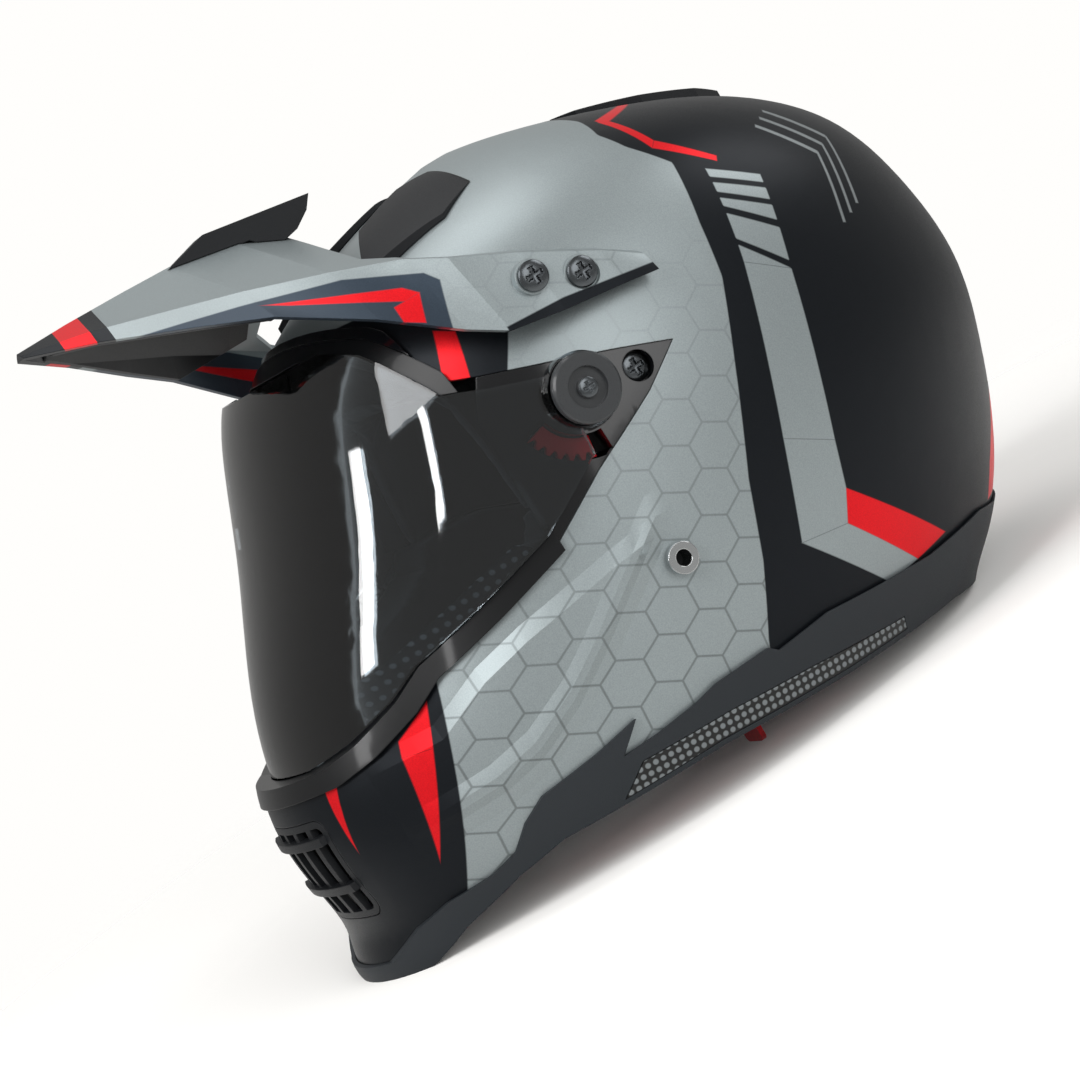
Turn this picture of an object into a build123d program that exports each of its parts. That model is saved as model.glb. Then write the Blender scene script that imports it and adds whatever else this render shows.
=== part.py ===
"""A dual sport helmet: shell, lining, shield, peak, vents and chin strap, standing on its rim.

Millimetres, +Z up. The wearer faces -Y and the wearer's left is +X. The floor is Z = 0, and
the origin lies under the middle of the helmet.
"""

import os
from math import cos, pi, sin

from build123d import *

# Painted shell
SHELL_HEIGHT = 252.0
HALF_LENGTH = 172.0
HALF_WIDTH = 120.0
SHELL_WALL = 4.0
SEAT_GAP = 0.3
OVERRUN = 60.0
WELL_OUTSIDE = 600.0
MM_PER_CM = 10

# Lining
FOAM_THICKNESS = 30.0
PAD_THICKNESS = 9.0

# Shield
PIVOT_Y = -30.0
PIVOT_Z = 152.0
SHIELD_WALL = 2.2
SHIELD_GAP = 2.6

# Heights of the form's plan sections, and each section's reach and fullness.
# Height, front, back and widest place are shares of SHELL_HEIGHT and HALF_LENGTH, and the
# half width is a share of HALF_WIDTH. The last two are the curve's powers, front and back.
FORM_SHARES = (
    (-0.04, 0.972, 0.645, 0.760, -0.120, 2.10, 2.0),
    (0.060, 0.990, 0.760, 0.865, -0.120, 2.15, 2.0),
    (0.151, 1.000, 0.875, 0.935, -0.110, 2.10, 2.0),
    (0.317, 0.988, 0.978, 0.985, -0.060, 1.90, 2.1),
    (0.444, 0.872, 1.020, 1.000, -0.010, 1.92, 2.15),
    (0.595, 0.750, 0.990, 0.993, 0.030, 2.00, 2.2),
    (0.734, 0.640, 0.900, 0.940, 0.070, 2.10, 2.2),
    (0.845, 0.480, 0.705, 0.808, 0.090, 2.15, 2.2),
    (0.912, 0.300, 0.485, 0.615, 0.100, 2.15, 2.15),
    (0.957, 0.115, 0.280, 0.385, 0.090, 2.10, 2.1),
    (0.979, -0.010, 0.160, 0.170, 0.080, 2.00, 2.0),
    (0.985, -0.050, 0.120, 0.050, 0.085, 2.00, 2.0),
)
SECTION_POINTS = 20

# The shield is flatter in front than the shell: its front reach at each of those heights
SHIELD_FRONT_SHARES = (
    0.930,
    0.935,
    0.940,
    0.930,
    0.865,
    0.750,
    0.655,
    0.545,
    0.360,
    0.150,
    0.015,
    -0.035,
)

# Side outlines: shares of HALF_LENGTH behind the middle and of SHELL_HEIGHT above the floor
FRONT_SHARE = -1.3
EYEPORT_SHARES = (
    (FRONT_SHARE, 0.304),
    (-0.925, 0.304),
    (-0.849, 0.318),
    (-0.752, 0.345),
    (-0.686, 0.372),
    (-0.523, 0.403),
    (-0.366, 0.437),
    (-0.221, 0.496),
    (-0.047, 0.552),
    (0.055, 0.595),
    (-0.058, 0.625),
    (-0.209, 0.663),
    (-0.308, 0.689),
    (-0.372, 0.709),
    (-0.430, 0.808),
    (-0.488, 0.849),
    (FRONT_SHARE, 0.849),
)


def grown_form(grow, fronts=None):
    """Returns the helmet's closed form, grown by this much, or with its front reaches changed."""
    half_width = HALF_WIDTH + grow
    half_length = HALF_LENGTH + grow
    tallness = SHELL_HEIGHT + grow
    with BuildPart() as form:
        for row, section in enumerate(FORM_SHARES):
            level, front, back, half, widest, front_power, back_power = section
            if fronts:
                front = fronts[row]
            points = []
            for i in range(SECTION_POINTS):
                turn = 2 * pi * (i + 0.5) / SECTION_POINTS
                power = back_power if sin(turn) > 0 else front_power
                reach_share = (back - widest) if sin(turn) > 0 else (front + widest)
                across = abs(cos(turn)) ** (2 / power) * (1 if cos(turn) > 0 else -1)
                along = abs(sin(turn)) ** (2 / power) * (1 if sin(turn) > 0 else -1)
                x = half_width * half * across
                y = half_length * (widest + reach_share * along)
                points.append((x, y))
            with BuildSketch(Plane.XY.offset(tallness * level)):
                with BuildLine():
                    Spline(*points, periodic=True)
                make_face()
        loft()
    return form.part


def side_points(shares):
    """Turns shares into points of the side view, behind the middle and above the floor."""
    return [(HALF_LENGTH * y, SHELL_HEIGHT * z) for y, z in shares]


def side_block(shares, grow=0.0):
    """Returns a block right across the helmet with this side outline, grown or drawn in."""
    with BuildPart() as block:
        with BuildSketch(Plane.YZ):
            with BuildLine():
                Polyline(*side_points(shares), close=True)
            make_face()
            if grow:
                offset(amount=grow, kind=Kind.INTERSECTION)
        extrude(amount=HALF_WIDTH + OVERRUN, both=True)
    return block.part


def side_disc(side, start, height, radius, y=PIVOT_Y, z=PIVOT_Z):
    """Returns a disc across the helmet on one side, from one X outwards."""
    with BuildPart() as disc:
        with BuildSketch(Plane.YZ.offset(side * start)):
            with Locations((y, z)):
                Circle(radius)
        extrude(amount=side * height)
    return disc.part


def side_rods(start, height, radius, y, z):
    """Returns the same disc on both sides."""
    with BuildPart() as rods:
        for side in (-1, 1):
            add(side_disc(side, start, height, radius, y, z))
    return rods.part


def finish(piece, label):
    """Labels one finished piece and writes it."""
    piece.label = label
    export_step(piece, f"parts/{label}.step")
    print(label, len(piece.solids()), round(piece.volume / MM_PER_CM**3, 1), "cm3")


os.makedirs("parts", exist_ok=True)

# Closed forms that every curved piece is cut from
shell_form = grown_form(0)
inner_form = grown_form(-SHELL_WALL)
foam_form = grown_form(-SHELL_WALL - SEAT_GAP)
cavity_form = grown_form(-SHELL_WALL - SEAT_GAP - FOAM_THICKNESS)

# Rim: the lower edge arches over the collarbones and comes down at the chin and the nape
RIM_SHARES = (
    (-1.10, 0.0),
    (-0.940, 0.0),
    (-0.860, 0.034),
    (-0.740, 0.066),
    (-0.640, 0.082),
    (-0.270, 0.074),
    (0.080, 0.050),
    (0.430, 0.030),
    (0.640, 0.0),
    (1.10, 0.0),
)
RIM_LIP = 3.0
RIM_BAND = 1.8
RIM_FLOOR_SHARE = -0.3

# Upper outline of the moulded rim band, with its steps and the raised spike
BAND_TOP_SHARES = (
    (-1.10, 0.022),
    (-0.990, 0.026),
    (-0.930, 0.060),
    (-0.870, 0.078),
    (-0.780, 0.086),
    (-0.728, 0.100),
    (-0.690, 0.130),
    (-0.640, 0.152),
    (-0.515, 0.164),
    (-0.415, 0.178),
    (-0.470, 0.141),
    (-0.390, 0.143),
    (-0.290, 0.150),
    (-0.235, 0.158),
    (-0.100, 0.158),
    (-0.080, 0.146),
    (0.060, 0.150),
    (0.210, 0.135),
    (0.380, 0.120),
    (0.600, 0.116),
    (0.700, 0.100),
    (1.10, 0.094),
)


def under_rim(lift):
    """Returns the block below the arched rim line, raised by this much."""
    with BuildPart() as block:
        with BuildSketch(Plane.YZ):
            with BuildLine():
                ends = [(RIM_SHARES[-1][0], RIM_FLOOR_SHARE), (RIM_SHARES[0][0], RIM_FLOOR_SHARE)]
                line = [(y, z + lift / SHELL_HEIGHT) for y, z in RIM_SHARES]
                Polyline(*side_points(line + ends), close=True)
            make_face()
        extrude(amount=HALF_WIDTH + OVERRUN, both=True)
    return block.part


# Viewing opening through the lining, and the flat back of the plates that carry the shield
VIEW_REAR_SHARE = -0.30
PLATE_BACK = 101.0
HUB_RADIUS = 13.5
HUB_INNER = 115.5
HUB_CLEARANCE = 0.8

eyeport_block = side_block(EYEPORT_SHARES)
with BuildPart() as view_block:
    add(eyeport_block)
    with BuildSketch(Plane.XY):
        with Locations((0, HALF_LENGTH * (1 + VIEW_REAR_SHARE))):
            Rectangle(2 * (HALF_WIDTH + OVERRUN), 2 * HALF_LENGTH)
    extrude(amount=SHELL_HEIGHT, mode=Mode.SUBTRACT)

with BuildPart() as hub_pockets:
    for side in (-1, 1):
        with BuildSketch(Plane.YZ.offset(side * (HUB_INNER - SEAT_GAP))):
            with Locations((PIVOT_Y, PIVOT_Z)):
                Circle(HUB_RADIUS + HUB_CLEARANCE)
        extrude(amount=side * OVERRUN)

# Vents through the shell: chin slot, two forehead mouths, two rear exhausts
CHIN_VENT_WIDTH = 66.0
CHIN_VENT_LOW = 24.0
CHIN_VENT_HIGH = 66.0
CHIN_VENT_CORNER = 6.0
FOREHEAD_HOLE = (30.0, 12.0)
FOREHEAD_HOLE_SHARES = (0.333, -0.081)
EXHAUST_HOLE = (22.0, 8.0)
EXHAUST_SHARES = (0.150, 0.540)

with BuildPart() as vent_cuts:
    with BuildSketch(Plane.XZ):
        with Locations((0, (CHIN_VENT_LOW + CHIN_VENT_HIGH) / 2)):
            RectangleRounded(CHIN_VENT_WIDTH, CHIN_VENT_HIGH - CHIN_VENT_LOW, CHIN_VENT_CORNER)
    extrude(amount=HALF_LENGTH + OVERRUN)
    with BuildSketch(Plane.XY.offset(SHELL_HEIGHT / 2)):
        for side in (-1, 1):
            x_share, y_share = FOREHEAD_HOLE_SHARES
            with Locations((side * HALF_WIDTH * x_share, HALF_LENGTH * y_share)):
                SlotOverall(*FOREHEAD_HOLE)
            x_share, y_share = EXHAUST_SHARES
            with Locations((side * HALF_WIDTH * x_share, HALF_LENGTH * y_share)):
                SlotOverall(*EXHAUST_HOLE)
    extrude(amount=SHELL_HEIGHT)

# Strap rivets, seated in the shell's sides
RIVET_Y = -30.0
RIVET_Z = 84.0
RIVET_RADIUS = 5.8
RIVET_HEAD = 1.8
RIVET_BORE = 3.0
RIVET_SHANK = 4.2
RIVET_SEAT = 119.3
RIVET_INNER = 111.6
rivet_holes = side_rods(HALF_WIDTH - OVERRUN, OVERRUN, RIVET_SHANK + SEAT_GAP, RIVET_Y, RIVET_Z)

with BuildPart() as outer_shell:
    add(shell_form)
    add(inner_form, mode=Mode.SUBTRACT)
    add(under_rim(RIM_LIP + SEAT_GAP), mode=Mode.SUBTRACT)
    add(eyeport_block, mode=Mode.SUBTRACT)
    add(hub_pockets.part, mode=Mode.SUBTRACT)
    add(vent_cuts.part, mode=Mode.SUBTRACT)
    add(rivet_holes, mode=Mode.SUBTRACT)
finish(outer_shell.part, "outer_shell")

# Lining: crown foam, chin foam, cheek pads and the comfort pads, split along these lines
CHEEK_SHARES = (
    (-0.640, -0.05),
    (-0.640, 0.440),
    (-0.366, 0.480),
    (-0.290, 0.485),
    (-0.100, 0.475),
    (0.060, 0.430),
    (0.150, 0.300),
    (0.190, -0.05),
)
CHIN_SHARES = (
    (FRONT_SHARE, -0.05),
    (FRONT_SHARE, 0.400),
    (-0.640, 0.440),
    (-0.640, -0.05),
)
MOUTH_HALF_WIDTH = 44.0
SPLIT_GAP = 0.8
CHIN_FOAM = 18.0
CHEEK_PAD_THICKNESS = 42.0
STRAP_ROOM = 4.0
NECK_SHARES = (
    (0.190, -0.05),
    (0.190, 0.170),
    (0.450, 0.150),
    (1.10, 0.130),
    (1.10, -0.05),
)
NECK_ROLL_THICKNESS = 34.0

plate_pockets = side_block(EYEPORT_SHARES, grow=SPLIT_GAP)
with BuildPart() as view_room:
    add(plate_pockets)
    with BuildSketch(Plane.XY):
        with Locations((0, HALF_LENGTH * (1 + VIEW_REAR_SHARE))):
            Rectangle(2 * (HALF_WIDTH + OVERRUN), 2 * HALF_LENGTH)
    extrude(amount=SHELL_HEIGHT, mode=Mode.SUBTRACT)
with BuildPart() as plate_room:
    add(plate_pockets)
    with BuildSketch(Plane.YZ):
        Rectangle(WELL_OUTSIDE, WELL_OUTSIDE)
    extrude(amount=PLATE_BACK - SEAT_GAP, both=True, mode=Mode.SUBTRACT)

cheek_block = side_block(CHEEK_SHARES)
chin_block = side_block(CHIN_SHARES)
neck_block = side_block(NECK_SHARES)
rim_cut = under_rim(RIM_LIP + SEAT_GAP)
with BuildPart() as crown_limits:
    add(rim_cut)
    add(view_block.part)
    add(plate_room.part)
    add(cheek_block)
    add(chin_block)
    add(neck_block)

with BuildPart() as eps_liner:
    add(foam_form)
    add(cavity_form, mode=Mode.SUBTRACT)
    add(crown_limits.part, mode=Mode.SUBTRACT)
finish(eps_liner.part, "eps_liner")

comfort_outer = grown_form(-SHELL_WALL - FOAM_THICKNESS - 2 * SEAT_GAP)
comfort_inner = grown_form(-SHELL_WALL - FOAM_THICKNESS - 2 * SEAT_GAP - PAD_THICKNESS)
with BuildPart() as comfort_liner:
    add(comfort_outer)
    add(comfort_inner, mode=Mode.SUBTRACT)
    add(crown_limits.part, mode=Mode.SUBTRACT)
finish(comfort_liner.part, "comfort_liner")

chin_inner = grown_form(-SHELL_WALL - SEAT_GAP - CHIN_FOAM)
with BuildPart() as chin_eps:
    add(foam_form)
    add(chin_inner, mode=Mode.SUBTRACT)
    add(side_block(CHIN_SHARES, grow=-SPLIT_GAP), mode=Mode.INTERSECT)
    add(rim_cut, mode=Mode.SUBTRACT)
    add(view_room.part, mode=Mode.SUBTRACT)
    add(vent_cuts.part, mode=Mode.SUBTRACT)
finish(chin_eps.part, "chin_eps")

# Chin strap: on each side webbing runs down from its rivet between the shell and the cheek
# pad, goes through the pad and comes out above the rim's lip. The right one ends in a loop.
STRAP_WIDTH = 24.0
STRAP_WALL = 1.8
STRAP_REST = 1.0
STRAP_SLOT_GAP = 0.7
STRAP_TOP_Z = 94.0
STRAP_TURN_Z = 36.0
LOOP_RADIUS = 5.2
LOOP_BORE = 4.0
STRAP_SHARES = (
    (0.878, 0.153),
    (0.840, 0.128),
    (0.700, 0.108),
    (0.560, 0.078),
    (0.450, 0.050),
)
strap_outer = grown_form(-SHELL_WALL - STRAP_REST)
strap_inner = grown_form(-SHELL_WALL - STRAP_REST - STRAP_WALL)


def strap_run(side, wall, width):
    """Returns the webbing's lower run, from the pad's outer face to the strap's end."""
    with BuildPart() as run:
        with BuildSketch(Plane.XZ.offset(-RIVET_Y - width / 2)):
            with BuildLine():
                Polyline(*[(side * HALF_WIDTH * x, SHELL_HEIGHT * z) for x, z in STRAP_SHARES])
                offset(amount=wall / 2, side=Side.BOTH)
            make_face()
        extrude(amount=width)
    return run.part


loop_place = (STRAP_SHARES[-1][0] * HALF_WIDTH, STRAP_SHARES[-1][1] * SHELL_HEIGHT)


def loop_rod(side, radius, width, shift=0.0):
    """Returns a rod along the strap's end loop on one side."""
    with BuildPart() as rod:
        with BuildSketch(Plane.XZ.offset(-RIVET_Y - width / 2)):
            with Locations((side * loop_place[0], loop_place[1] + shift)):
                Circle(radius)
        extrude(amount=width)
    return rod.part


# Cheek pads and the neck roll
pad_outer = grown_form(-SHELL_WALL - STRAP_ROOM)
pad_inner = grown_form(-SHELL_WALL - STRAP_ROOM - CHEEK_PAD_THICKNESS)
neck_inner = grown_form(-SHELL_WALL - SEAT_GAP - NECK_ROLL_THICKNESS)
with BuildPart() as cheek_ring:
    add(pad_outer)
    add(pad_inner, mode=Mode.SUBTRACT)
    add(side_block(CHEEK_SHARES, grow=-SPLIT_GAP), mode=Mode.INTERSECT)
    add(under_rim(RIM_LIP + SPLIT_GAP), mode=Mode.SUBTRACT)
    add(view_room.part, mode=Mode.SUBTRACT)
    add(plate_room.part, mode=Mode.SUBTRACT)
    with BuildSketch(Plane.XY.offset(-OVERRUN)):
        Rectangle(2 * MOUTH_HALF_WIDTH, 3 * HALF_LENGTH)
    extrude(amount=SHELL_HEIGHT, mode=Mode.SUBTRACT)
    for side in (-1, 1):
        add(strap_run(side, STRAP_WALL + 2 * STRAP_SLOT_GAP, STRAP_WIDTH + 2 * STRAP_SLOT_GAP),
            mode=Mode.SUBTRACT)
for label, low in (("cheek_pad_right", True), ("cheek_pad_left", False)):
    with BuildPart() as cheek_pad:
        add(cheek_ring.part)
        split(bisect_by=Plane.YZ, keep=Keep.BOTTOM if low else Keep.TOP)
    finish(cheek_pad.part, label)

with BuildPart() as neck_roll:
    add(grown_form(-SHELL_WALL - SPLIT_GAP))
    add(neck_inner, mode=Mode.SUBTRACT)
    add(side_block(NECK_SHARES, grow=-SPLIT_GAP), mode=Mode.INTERSECT)
    add(under_rim(RIM_LIP + SPLIT_GAP), mode=Mode.SUBTRACT)
finish(neck_roll.part, "neck_roll")

for name, side in (("right", -1), ("left", 1)):
    with BuildPart() as chin_strap:
        with BuildSketch(Plane.YZ):
            with Locations((RIVET_Y, (STRAP_TOP_Z + STRAP_TURN_Z) / 2)):
                Rectangle(STRAP_WIDTH, STRAP_TOP_Z - STRAP_TURN_Z)
        extrude(amount=side * (HALF_WIDTH + OVERRUN))
        add(strap_outer, mode=Mode.INTERSECT)
        add(strap_inner, mode=Mode.SUBTRACT)
        add(rivet_holes, mode=Mode.SUBTRACT)
        add(strap_run(side, STRAP_WALL, STRAP_WIDTH))
        if side < 0:
            add(loop_rod(side, LOOP_RADIUS, STRAP_WIDTH))
            add(loop_rod(side, LOOP_BORE, 2 * STRAP_WIDTH), mode=Mode.SUBTRACT)
    finish(chin_strap.part, f"chin_strap_{name}")

with BuildPart() as strap_rivets:
    add(side_rods(RIVET_SEAT, RIVET_HEAD, RIVET_RADIUS, RIVET_Y, RIVET_Z))
    add(side_rods(RIVET_INNER, RIVET_SEAT - RIVET_INNER, RIVET_SHANK, RIVET_Y, RIVET_Z))
    add(side_rods(RIVET_INNER, OVERRUN, RIVET_BORE, RIVET_Y, RIVET_Z), mode=Mode.SUBTRACT)
finish(strap_rivets.part, "strap_rivets")

# A pair of D-rings hangs in the right strap's loop, and a red pull tab is on the left strap
RING_BAR = 1.4
RING_OFFSET = 1.8
RING_ARM = 7.0
RING_HALF_WIDTH = 15.5
with BuildPart() as d_rings:
    for level in (-RING_OFFSET, RING_OFFSET):
        with BuildSketch(Plane.XZ.offset(-RIVET_Y)):
            with Locations((-loop_place[0], loop_place[1] + level)):
                Circle(RING_BAR)
        extrude(amount=RING_HALF_WIDTH + RING_BAR, both=True)
        with BuildSketch(Plane.XY.offset(loop_place[1] + level - RING_BAR)):
            with Locations((-loop_place[0], RIVET_Y)):
                with Locations((RING_ARM, 0)):
                    Circle(RING_HALF_WIDTH + RING_BAR)
                    Circle(RING_HALF_WIDTH - RING_BAR, mode=Mode.SUBTRACT)
                with Locations((RING_ARM - RING_HALF_WIDTH, 0)):
                    Rectangle(2 * RING_HALF_WIDTH, 3 * RING_HALF_WIDTH, mode=Mode.SUBTRACT)
                with Locations((RING_ARM / 2, 0)):
                    with GridLocations(0, 2 * RING_HALF_WIDTH, 1, 2):
                        Rectangle(RING_ARM, 2 * RING_BAR)
        extrude(amount=2 * RING_BAR)
finish(d_rings.part, "d_rings")

TAB_SIZE = (14.0, 10.5)
TAB_WALL = 2.0
TAB_SHARES = (0.500, 0.033)
with BuildPart() as strap_tab:
    with BuildSketch(Plane.XZ.offset(-RIVET_Y - STRAP_WIDTH / 2 - SEAT_GAP)):
        with Locations((HALF_WIDTH * TAB_SHARES[0], SHELL_HEIGHT * TAB_SHARES[1])):
            RectangleRounded(*TAB_SIZE, TAB_WALL)
    extrude(amount=-TAB_WALL)
finish(strap_tab.part, "strap_tab")

# Breath guard: a soft wall that stands up from the chin foam behind the shield
GUARD_SHARES = (
    (FRONT_SHARE, 0.300),
    (FRONT_SHARE, 0.352),
    (-0.720, 0.400),
    (-0.523, 0.440),
    (-0.400, 0.462),
    (-0.366, 0.440),
    (-0.523, 0.406),
    (-0.686, 0.374),
    (-0.752, 0.347),
    (-0.849, 0.320),
    (-0.925, 0.300),
)
GUARD_DEPTH = 14.0
GUARD_WALL = 3.0
with BuildPart() as breath_guard:
    add(grown_form(-GUARD_DEPTH))
    add(grown_form(-GUARD_DEPTH - GUARD_WALL), mode=Mode.SUBTRACT)
    add(side_block(GUARD_SHARES), mode=Mode.INTERSECT)
finish(breath_guard.part, "breath_guard")

# Rim band: a moulded edge that wraps the shell outside and turns in under the lining
MESH_SHARES = (
    (-0.500, 0.087),
    (-0.440, 0.120),
    (-0.230, 0.112),
    (-0.030, 0.096),
    (0.245, 0.068),
    (0.245, 0.050),
    (0.060, 0.060),
    (-0.270, 0.083),
)
RIM_TURN_IN = 22.0
band_outer = grown_form(SEAT_GAP + RIM_BAND)
band_inner = grown_form(SEAT_GAP)
rim_inner = grown_form(-RIM_TURN_IN)
with BuildPart() as edge_skin:
    add(band_outer)
    add(band_inner, mode=Mode.SUBTRACT)
with BuildPart() as rim_lip:
    add(band_inner)
    add(rim_inner, mode=Mode.SUBTRACT)
    add(under_rim(RIM_LIP), mode=Mode.INTERSECT)
    add(under_rim(0), mode=Mode.SUBTRACT)
with BuildPart() as rim_trim:
    add(edge_skin.part)
    add(side_block(BAND_TOP_SHARES + RIM_SHARES[::-1]), mode=Mode.INTERSECT)
    add(side_block(MESH_SHARES, grow=SEAT_GAP), mode=Mode.SUBTRACT)
    add(rim_lip.part)
finish(rim_trim.part, "rim_trim")

with BuildPart() as mesh_pair:
    add(edge_skin.part)
    add(side_block(MESH_SHARES), mode=Mode.INTERSECT)
for label, low in (("side_mesh_right", True), ("side_mesh_left", False)):
    with BuildPart() as side_mesh:
        add(mesh_pair.part)
        split(bisect_by=Plane.YZ, keep=Keep.BOTTOM if low else Keep.TOP)
    finish(side_mesh.part, label)

# Side plates fill the eyeport behind this line, and the gasket runs round the rest
PLATE_SHARES = (
    (-0.360, 0.400),
    (-0.360, 0.720),
    (0.100, 0.720),
    (0.100, 0.400),
)

# Eyeport gasket: a black lip on the shell and a wall inside the opening
GASKET_OVERLAP = 2.6
GASKET_WIDTH = 4.6
with BuildPart() as eyeport_gasket:
    add(band_inner)
    add(inner_form, mode=Mode.SUBTRACT)
    add(side_block(EYEPORT_SHARES, grow=-SEAT_GAP), mode=Mode.INTERSECT)
    add(edge_skin.part)
    add(side_block(EYEPORT_SHARES, grow=GASKET_OVERLAP), mode=Mode.INTERSECT)
    add(side_block(EYEPORT_SHARES, grow=-GASKET_WIDTH), mode=Mode.SUBTRACT)
    add(side_block(PLATE_SHARES, grow=SEAT_GAP), mode=Mode.SUBTRACT)
finish(eyeport_gasket.part, "eyeport_gasket")

# Brow trim: a raised glossy strip along the eyeport's upper edge
BROW_WIDTH = 4.4
BROW_SHARES = (
    (FRONT_SHARE, 0.800),
    (FRONT_SHARE, 1.000),
    (-0.385, 1.000),
    (-0.385, 0.700),
    (-0.450, 0.800),
)
with BuildPart() as brow_trim:
    add(edge_skin.part)
    add(side_block(BROW_SHARES), mode=Mode.INTERSECT)
    add(side_block(EYEPORT_SHARES, grow=GASKET_OVERLAP + SEAT_GAP + BROW_WIDTH), mode=Mode.INTERSECT)
    add(side_block(EYEPORT_SHARES, grow=GASKET_OVERLAP + SEAT_GAP), mode=Mode.SUBTRACT)
finish(brow_trim.part, "brow_trim")

# Side plates: thick moulded triangles that fill the eyeport's rear corners
POST_RADIUS = 5.0
POST_SEAT_RADIUS = 11.0
POST_TOP = 122.3
POST_HOLE = 2.2
SCREW_RADIUS = 5.4
SCREW_HEAD = 2.6
SCREW_SHANK = 2.0
SCREW_LENGTH = 9.0
PLATE_SCREW_Y = -7.0
PLATE_SCREW_Z = 148.5
PLATE_SCREW_SEAT = 114.0
LEVER_INNER = 15.5
LEVER_OUTER = 23.5
LEVER_BACK = 105.2
LEVER_WALL = 2.5
LEVER_FROM = 196.0
LEVER_TO = 262.0
LEVER_TRAVEL = 8.0
LEVER_ROOM = 0.5
LEVER_TEETH = 6
TOOTH_DEPTH = 2.4

with BuildPart() as plate_pair:
    add(shell_form)
    add(side_block(EYEPORT_SHARES, grow=-SEAT_GAP), mode=Mode.INTERSECT)
    add(side_block(PLATE_SHARES), mode=Mode.INTERSECT)
    with BuildSketch(Plane.YZ):
        Rectangle(WELL_OUTSIDE, WELL_OUTSIDE)
    extrude(amount=PLATE_BACK, both=True, mode=Mode.SUBTRACT)
    add(hub_pockets.part, mode=Mode.SUBTRACT)


def lever_face(grow, spread, teeth):
    """Draws the lever's ring sector in the side view round the pivot, with teeth outside."""
    turns = [LEVER_FROM - spread + i * (LEVER_TO - LEVER_FROM + 2 * spread) / (4 * LEVER_TEETH)
             for i in range(4 * LEVER_TEETH + 1)]
    outer = []
    for i, turn in enumerate(turns):
        dip = TOOTH_DEPTH if teeth and i % 4 in (1, 2) else 0.0
        radius = LEVER_OUTER + grow - dip
        outer.append((radius * cos(turn * pi / 180), radius * sin(turn * pi / 180)))
    radius = LEVER_INNER - grow
    inner = [(radius * cos(turn * pi / 180), radius * sin(turn * pi / 180))
             for turn in reversed(turns[::2])]
    with BuildSketch() as face:
        with BuildLine():
            Polyline(*outer, *inner, close=True)
        make_face()
    return face.sketch


def lever_block(side, start, height, grow, spread, teeth):
    """Returns the lever's sector as a plate on one side of the helmet."""
    with BuildPart() as block:
        with BuildSketch(Plane.YZ.offset(side * start)):
            with Locations((PIVOT_Y, PIVOT_Z)):
                add(lever_face(grow, spread, teeth))
        extrude(amount=side * height)
    return block.part


for name, side in (("right", -1), ("left", 1)):
    with BuildPart() as side_plate:
        add(plate_pair.part)
        split(bisect_by=Plane.YZ, keep=Keep.BOTTOM if side < 0 else Keep.TOP)
        add(side_disc(side, PLATE_BACK, POST_TOP - PLATE_BACK, POST_RADIUS))
        add(side_disc(side, PLATE_BACK, HUB_INNER - SEAT_GAP - PLATE_BACK, POST_SEAT_RADIUS))
        add(lever_block(side, LEVER_BACK, OVERRUN, LEVER_ROOM, LEVER_TRAVEL, False),
            mode=Mode.SUBTRACT)
        add(side_disc(side, POST_TOP - SCREW_LENGTH, OVERRUN, POST_HOLE), mode=Mode.SUBTRACT)
        add(side_disc(side, PLATE_SCREW_SEAT, OVERRUN, SCREW_RADIUS + SEAT_GAP,
                      PLATE_SCREW_Y, PLATE_SCREW_Z), mode=Mode.SUBTRACT)
        add(side_disc(side, PLATE_SCREW_SEAT - SCREW_LENGTH, OVERRUN, SCREW_SHANK + SEAT_GAP,
                      PLATE_SCREW_Y, PLATE_SCREW_Z), mode=Mode.SUBTRACT)
    finish(side_plate.part, f"side_plate_{name}")

    with BuildPart() as release_lever:
        add(lever_block(side, LEVER_BACK + SEAT_GAP, LEVER_WALL, 0, 0, True))
    finish(release_lever.part, f"release_lever_{name}")

with BuildPart() as plate_screws:
    for side in (-1, 1):
        seat = PLATE_SCREW_SEAT + SEAT_GAP / 3
        add(side_disc(side, seat, SCREW_HEAD, SCREW_RADIUS, PLATE_SCREW_Y, PLATE_SCREW_Z))
        add(side_disc(side, seat - SCREW_LENGTH + SEAT_GAP, SCREW_LENGTH, SCREW_SHANK,
                      PLATE_SCREW_Y, PLATE_SCREW_Z))
finish(plate_screws.part, "plate_screws")

# Face shield: a smoked sheet inside the gasket, with a flat hub round each pivot
SHIELD_EDGE_GAP = 5.2
SHIELD_SHARES = (
    (FRONT_SHARE, 0.200),
    (FRONT_SHARE, 0.950),
    (-0.300, 0.950),
    (-0.200, 0.645),
    (-0.215, 0.560),
    (-0.262, 0.200),
)
HUB_OUTER = 121.4
HUB_FIT = 0.08
with BuildPart() as face_shield:
    add(side_block(EYEPORT_SHARES, grow=-SHIELD_EDGE_GAP))
    add(side_block(SHIELD_SHARES), mode=Mode.INTERSECT)
    add(grown_form(SHIELD_GAP + SHIELD_WALL, SHIELD_FRONT_SHARES), mode=Mode.INTERSECT)
    add(grown_form(SHIELD_GAP, SHIELD_FRONT_SHARES), mode=Mode.SUBTRACT)
    add(side_rods(PLATE_BACK, OVERRUN, HUB_RADIUS, PIVOT_Y, PIVOT_Z), mode=Mode.SUBTRACT)
    add(side_rods(HUB_INNER, HUB_OUTER - HUB_INNER, HUB_RADIUS, PIVOT_Y, PIVOT_Z))
    add(side_rods(PLATE_BACK, OVERRUN, POST_RADIUS + HUB_FIT, PIVOT_Y, PIVOT_Z),
        mode=Mode.SUBTRACT)
finish(face_shield.part, "face_shield")

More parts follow.
